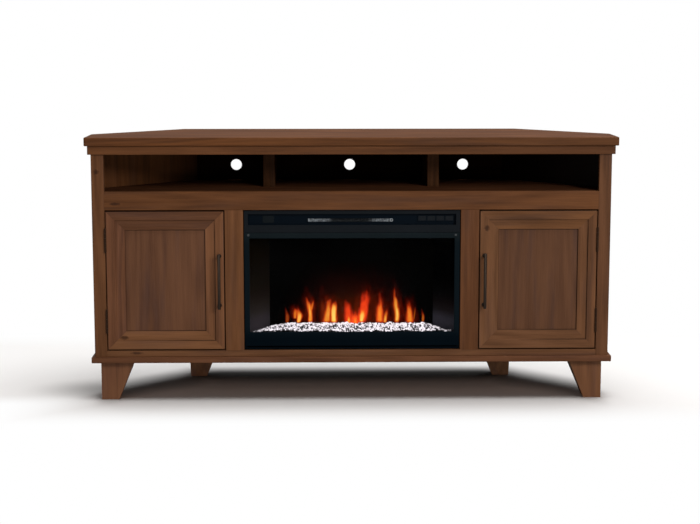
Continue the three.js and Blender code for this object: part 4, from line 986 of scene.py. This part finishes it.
# Each tongue: its strength, its warmth from 0, red, to 1, yellow, and a line of points from the bottom
# up as (x, z, half width) in millimetres.
TONGUES = [
    (0.10, 0.35, [(-87, 233, 17), (-83, 268, 20), (-91, 305, 18), (-100, 359, 10)]),
    (0.28, 0.40, [(-213, 233, 6), (-212, 258, 7), (-219, 289, 2)]),
    (1.10, 0.75, [(-176, 233, 6), (-172, 260, 12), (-183, 285, 8)]),
    (0.60, 0.50, [(-186, 247, 6), (-186, 272, 7), (-187, 287, 2.5)]),
    (0.95, 0.62, [(-137, 233, 9), (-136, 260, 8), (-140, 289, 9), (-147, 315, 4), (-149, 333, 1)]),
    (0.55, 0.50, [(-133, 276, 5), (-128, 297, 4), (-125, 311, 1)]),
    (0.80, 0.58, [(-83, 233, 16), (-77, 268, 13), (-73, 305, 8), (-66, 317, 2.5)]),
    (1.25, 0.90, [(-57, 233, 12), (-59, 264, 12), (-57, 293, 10), (-53, 309, 3)]),
    (1.25, 0.13, [(-9, 232, 14), (-10, 260, 14), (-13, 289, 14), (-20, 315, 6)]),
    (1.00, 0.62, [(-8, 232, 8), (-9, 250, 8), (-11, 274, 4)]),
    (1.20, 0.27, [(16, 230, 24), (14, 250, 19), (8, 275, 8)]),
    (0.60, 0.50, [(14, 230, 9), (13, 246, 8), (10, 260, 3)]),
    (1.60, 0.14, [(32, 232, 14), (38, 260, 17), (43, 293, 18), (47, 326, 14), (53, 349, 6)]),
    (1.25, 0.85, [(33, 236, 9), (36, 262, 12), (40, 293, 8)]),
    (0.95, 0.45, [(94, 233, 15), (94, 268, 13), (96, 303, 9), (96, 342, 4)]),
    (0.80, 0.65, [(111, 233, 7), (114, 260, 7), (118, 282, 3)]),
    (0.95, 0.75, [(150, 233, 9), (152, 264, 9), (147, 297, 10), (143, 326, 5), (142, 355, 1)]),
    (0.85, 0.50, [(194, 232, 14), (193, 260, 12), (191, 289, 8), (195, 315, 2)]),
    (0.25, 0.50, [(207, 243, 2.5), (210, 268, 3), (212, 293, 1)]),
    (0.40, 0.50, [(237, 235, 4), (237, 256, 5), (232, 282, 1)]),
]
WIDE_GLOW = (0.016, 0.45, [(0, 215, 200), (0, 280, 190), (0, 360, 160), (0, 440, 110)])
HALO_STRENGTH = 0.09
HALO_WARMTH = 0.15
RIBBON_COLUMNS = 8
RIBBON_ROWS = 28
RIBBON_GAP = 0.00012
SCREEN_GAP = 0.0006
EDGE_SHARE = 1.25


def line_point(points, share):
    """A point of the smooth line through the given points, from its start at 0 to its end at 1."""
    place = share * (len(points) - 1)
    index = min(int(place), len(points) - 2)
    t = place - index
    last = len(points) - 1
    before, here, there, after = [points[max(0, min(last, index + step))] for step in (-1, 0, 1, 2)]
    return [
        0.5 * (2 * b + (c - a) * t + (2 * a - 5 * b + 4 * c - d) * t**2 + (3 * b - a - 3 * c + d) * t**3)
        for a, b, c, d in zip(before, here, there, after)
    ]


ribbons = [WIDE_GLOW]
for strength, _, line in TONGUES:
    if strength > 0.5:
        halo = [(x, z + 6 * index, 2.0 * half + 5) for index, (x, z, half) in enumerate(line)]
        ribbons.append((HALO_STRENGTH, HALO_WARMTH, halo))
ribbons += TONGUES
screen_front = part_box("flame_screen")[0].y
row_length = RIBBON_COLUMNS + 1
vertices, faces, places, kinds = [], [], [], []
for layer, (strength, warmth, line) in enumerate(ribbons):
    start = len(vertices)
    y = screen_front - SCREEN_GAP - RIBBON_GAP * layer
    for row in range(RIBBON_ROWS + 1):
        x, z, half = line_point(line, row / RIBBON_ROWS)
        for column in range(row_length):
            across = 2 * column / RIBBON_COLUMNS - 1
            vertices.append(((x + across * half * EDGE_SHARE) / 1000, y, z / 1000))
            places.append((across, row / RIBBON_ROWS, layer))
            kinds.append((strength, warmth, 0))
    for row in range(RIBBON_ROWS):
        for corner in range(start + row * row_length, start + row * row_length + RIBBON_COLUMNS):
            faces.append((corner, corner + 1, corner + row_length + 1, corner + row_length))

HOT_STOPS = (
    (0.0, (0.60, 0.016, 0.005)),
    (0.24, (1.0, 0.085, 0.012)),
    (0.5, (1.0, 0.27, 0.022)),
    (0.9, (1.0, 0.62, 0.12)),
)
flame_light, tree = new_material("flame_light")
ribbon_place = source(tree, "Attribute", output="Vector", attribute_name="ribbon_place")
across, up, _ = parts_of(ribbon_place)
ribbon_kind = source(tree, "Attribute", output="Vector", attribute_name="ribbon_kind")
strength, warmth, _ = parts_of(ribbon_kind)
lick = noise_value(vector_calc("MULTIPLY", object_place(tree), (95, 1, 30)), 1.0, 2.5)
ragged = product(calc("SUBTRACT", lick, 0.5), 0.7)
core = span(calc("ADD", calc("ABSOLUTE", across), ragged), 1.0, 0.1)
fade = span(calc("ADD", up, ragged), 1.0, 0.3)
foot = span(up, 0.0, 0.12, 0.35, 1.0)
heat = product(core, fade, foot, calc("MULTIPLY_ADD", lick, 0.8, 0.6))
flame = {
    "Base Color": (0, 0, 0, 1),
    "Roughness": 1.0,
    "Specular IOR Level": 0.0,
    "Emission Color": colour_ramp(product(heat, warmth), HOT_STOPS),
    "Emission Strength": 2.7,
    "Alpha": calc("MULTIPLY", heat, strength, clamp=True),
}
show_surface(flame)
flames = mesh_piece("flame_ribbons", vertices, faces, flame_light, "cabinet")
for name, values in (("ribbon_place", places), ("ribbon_kind", kinds)):
    attribute = flames.data.attributes.new(name, "FLOAT_VECTOR", "POINT")
    for index, value in enumerate(values):
        attribute.data[index].vector = value


# Ember bed: a bank of clear crushed glass on a dark core. Its light from inside the firebox is painted into
# the chips as a glow. The pieces are broken chips of 6 to 10 millimetres, piled higher in the middle and
# thinned out towards the ends.
BED_ROWS = 14
BED_COLUMNS = 90
BED_SLANT = 0.627
BED_END_GAP = 0.0075
BED_FRONT_GAP = 0.0035
BED_DEPTH_GAPS = 0.009
CORE_SINK = 0.001
low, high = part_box("crystal_bed")


def bed_reach(y):
    """Half the width of the bed, which narrows towards the back between the slanted sides."""
    return high.x - BED_END_GAP - (y - low.y) * BED_SLANT


def bed_height(x, y):
    """Height of the bank above the pan: low at the glass, highest two thirds of the way back."""
    back_share = (y - low.y) / (high.y - low.y)
    rise = 0.0040 + 0.0090 * min(1.0, back_share / 0.62) ** 0.8
    rise -= 0.005 * max(0.0, (back_share - 0.7) / 0.3) ** 2
    taper = max(0.0, min(1.0, (bed_reach(y) - abs(x)) / (0.05 if x < 0 else 0.035)))
    ripple = noise.noise(Vector((x * 34, y * 20, 0.3))) * 0.0045
    return max(0.001, rise * taper**0.8 + ripple * taper)


grid = []
for row in range(BED_ROWS + 1):
    y = low.y + BED_FRONT_GAP + (high.y - low.y - BED_DEPTH_GAPS) * row / BED_ROWS
    for column in range(BED_COLUMNS + 1):
        x = bed_reach(y) * (2 * column / BED_COLUMNS - 1)
        grid.append((x, y, low.z + bed_height(x, y)))
count, row_length, last_row = len(grid), BED_COLUMNS + 1, BED_ROWS * (BED_COLUMNS + 1)
starts = [row * row_length for row in range(BED_ROWS + 1)]
corners = [start + column for start in starts[:-1] for column in range(BED_COLUMNS)]
cells = [(at, at + 1, at + row_length + 1, at + row_length) for at in corners]
core_vertices = [(x, y, z - CORE_SINK) for x, y, z in grid] + [(x, y, low.z) for x, y, _ in grid]
core_faces = cells + [tuple(count + index for index in face[::-1]) for face in cells]
front_edge, back_edge = range(row_length), range(last_row, count)
left_edge, right_edge = starts, [start + BED_COLUMNS for start in starts]
for line, outward in ((front_edge, 1), (back_edge, -1), (left_edge, -1), (right_edge, 1)):
    for first, second in zip(line, line[1:]):
        core_faces.append((first, count + first, count + second, second)[::outward])
# The core is the bed's dark base, and its dark colour also stands in for the shade in the gaps between the
# chips.
bed_core = metal("bed_core", (0.020, 0.018, 0.021), 0.5, 0.0, 0.02)
core = mesh_piece("ember_bed_core", core_vertices, core_faces, bed_core, "cabinet")


def chips_tree(sizes):
    tree, given = shape_tree("glass_chips", sizes)

    def random_vector(lowest, highest, seed):
        values = {0: lowest, 1: highest, "Seed": seed}
        return source(tree, "FunctionNodeRandomValue", values, data_type="FLOAT_VECTOR")

    scatter = {0: given[0], "Distance Min": given["Spacing"], "Density Max": 90000.0, "Seed": given["Seed"]}
    scatter = output_of("GeometryNodeDistributePointsOnFaces", scatter, distribute_method="POISSON")
    chip = output_of("GeometryNodeMeshIcoSphere", {"Radius": given["Chip Radius"], "Subdivisions": 1})
    turn = random_vector((0, 0, 0), (6.283, 6.283, 6.283), 3)
    stretch = random_vector((0.6, 0.6, 0.45), (1.45, 1.2, 1.0), 5)
    toss = random_vector((0, 0, -0.0012), (0, 0, 0.0030), 9)
    tossed = output_of("GeometryNodeSetPosition", {0: scatter, "Offset": toss})
    chips = {"Points": tossed, "Instance": chip, "Rotation": turn, "Scale": stretch}
    chips = output_of("GeometryNodeInstanceOnPoints", chips)
    shade = {2: 0.0, 3: 1.0, "Seed": 7}
    shade = source(tree, "FunctionNodeRandomValue", shade, 1, data_type="FLOAT")
    tinted = {0: chips, "Name": "chip_shade", "Value": shade}
    per_chip = {"data_type": "FLOAT", "domain": "INSTANCE"}
    tinted = output_of("GeometryNodeStoreNamedAttribute", tinted, **per_chip)
    real = output_of("GeometryNodeRealizeInstances", {0: tinted})
    break_off = random_vector((-0.0011, -0.0011, -0.0011), (0.0011, 0.0011, 0.0011), 11)
    broken = output_of("GeometryNodeSetPosition", {0: real, "Offset": break_off})
    finish_shape(broken, given["Finish"])
    return tree


# Painted light: the chips glow though no lamp lights them; each facet glows by how far it faces the upper
# light, with painted glints, dimmer towards the bed's ends.
UPPER_LIGHT = (0.25, -0.55, 0.80)
GLOW_COLOUR = (1.0, 0.90, 0.93)
lit_glass, tree = new_material("lit_glass")
shade = source(tree, "Attribute", output="Fac", attribute_name="chip_shade")
normal = source(tree, "TexCoord", output="Normal")
facet = span(vector_calc("DOT_PRODUCT", normal, UPPER_LIGHT), -0.05, 0.85, 0.024, 1.2)
sparkle = span(noise_value(object_place(tree), 420.0, 2.0), 0.35, 0.7, 0.6, 1.2)
clarity = span(shade, 0.12, 0.42, 0.05, 0.75)
clarity = calc("ADD", clarity, span(shade, 0.42, 1.0, 0.0, 0.45))
aside = calc("ABSOLUTE", parts_of(object_place(tree))["X"])
ends = span(aside, 0.25, 0.325, 1.0, 0.14)
glow = product(facet, clarity, sparkle, ends)
glow = calc("MINIMUM", glow, calc("MULTIPLY_ADD", glow, 0.25, 0.40))
glow = vector_calc("MULTIPLY", GLOW_COLOUR, glow)
chip_glass = {
    "Base Color": glow,
    "Roughness": 0.15,
    "Specular IOR Level": 0.4,
    "Emission Color": glow,
    "Emission Strength": 4.0,
}
show_surface(chip_glass)
sizes = {"Chip Radius": 0.0041, "Spacing": 0.0056, "Seed": 4, "Finish": lit_glass}
carrier = new_mesh("bed_surface", grid, cells)
chips = grown_piece("glass_chips", chips_tree(sizes), carrier, sizes, "cabinet")
for piece in (core, chips):
    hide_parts("crystal_bed")


# Works behind the front: the heater's duct is folded from plated sheet and is darkest at its mouth. The
# flame spindle is bright metal, and the blower wheel in the duct is moulded in black plastic.
def dark_mouth(place):
    return span(parts_of(place)["Y"], -0.16, -0.08, 0.02, 1.0)


dress("heater_duct", metal("duct_steel", (0.20, 0.20, 0.19), 0.5, 0.0, 0.02, dark_mouth))
dress("flame_spindle", metal("spindle_metal", (0.42, 0.44, 0.46), 0.3, 0.9))
dress("blower_wheel", metal("blower_plastic", (0.012, 0.012, 0.013), 0.5, 0.0, 0.3))
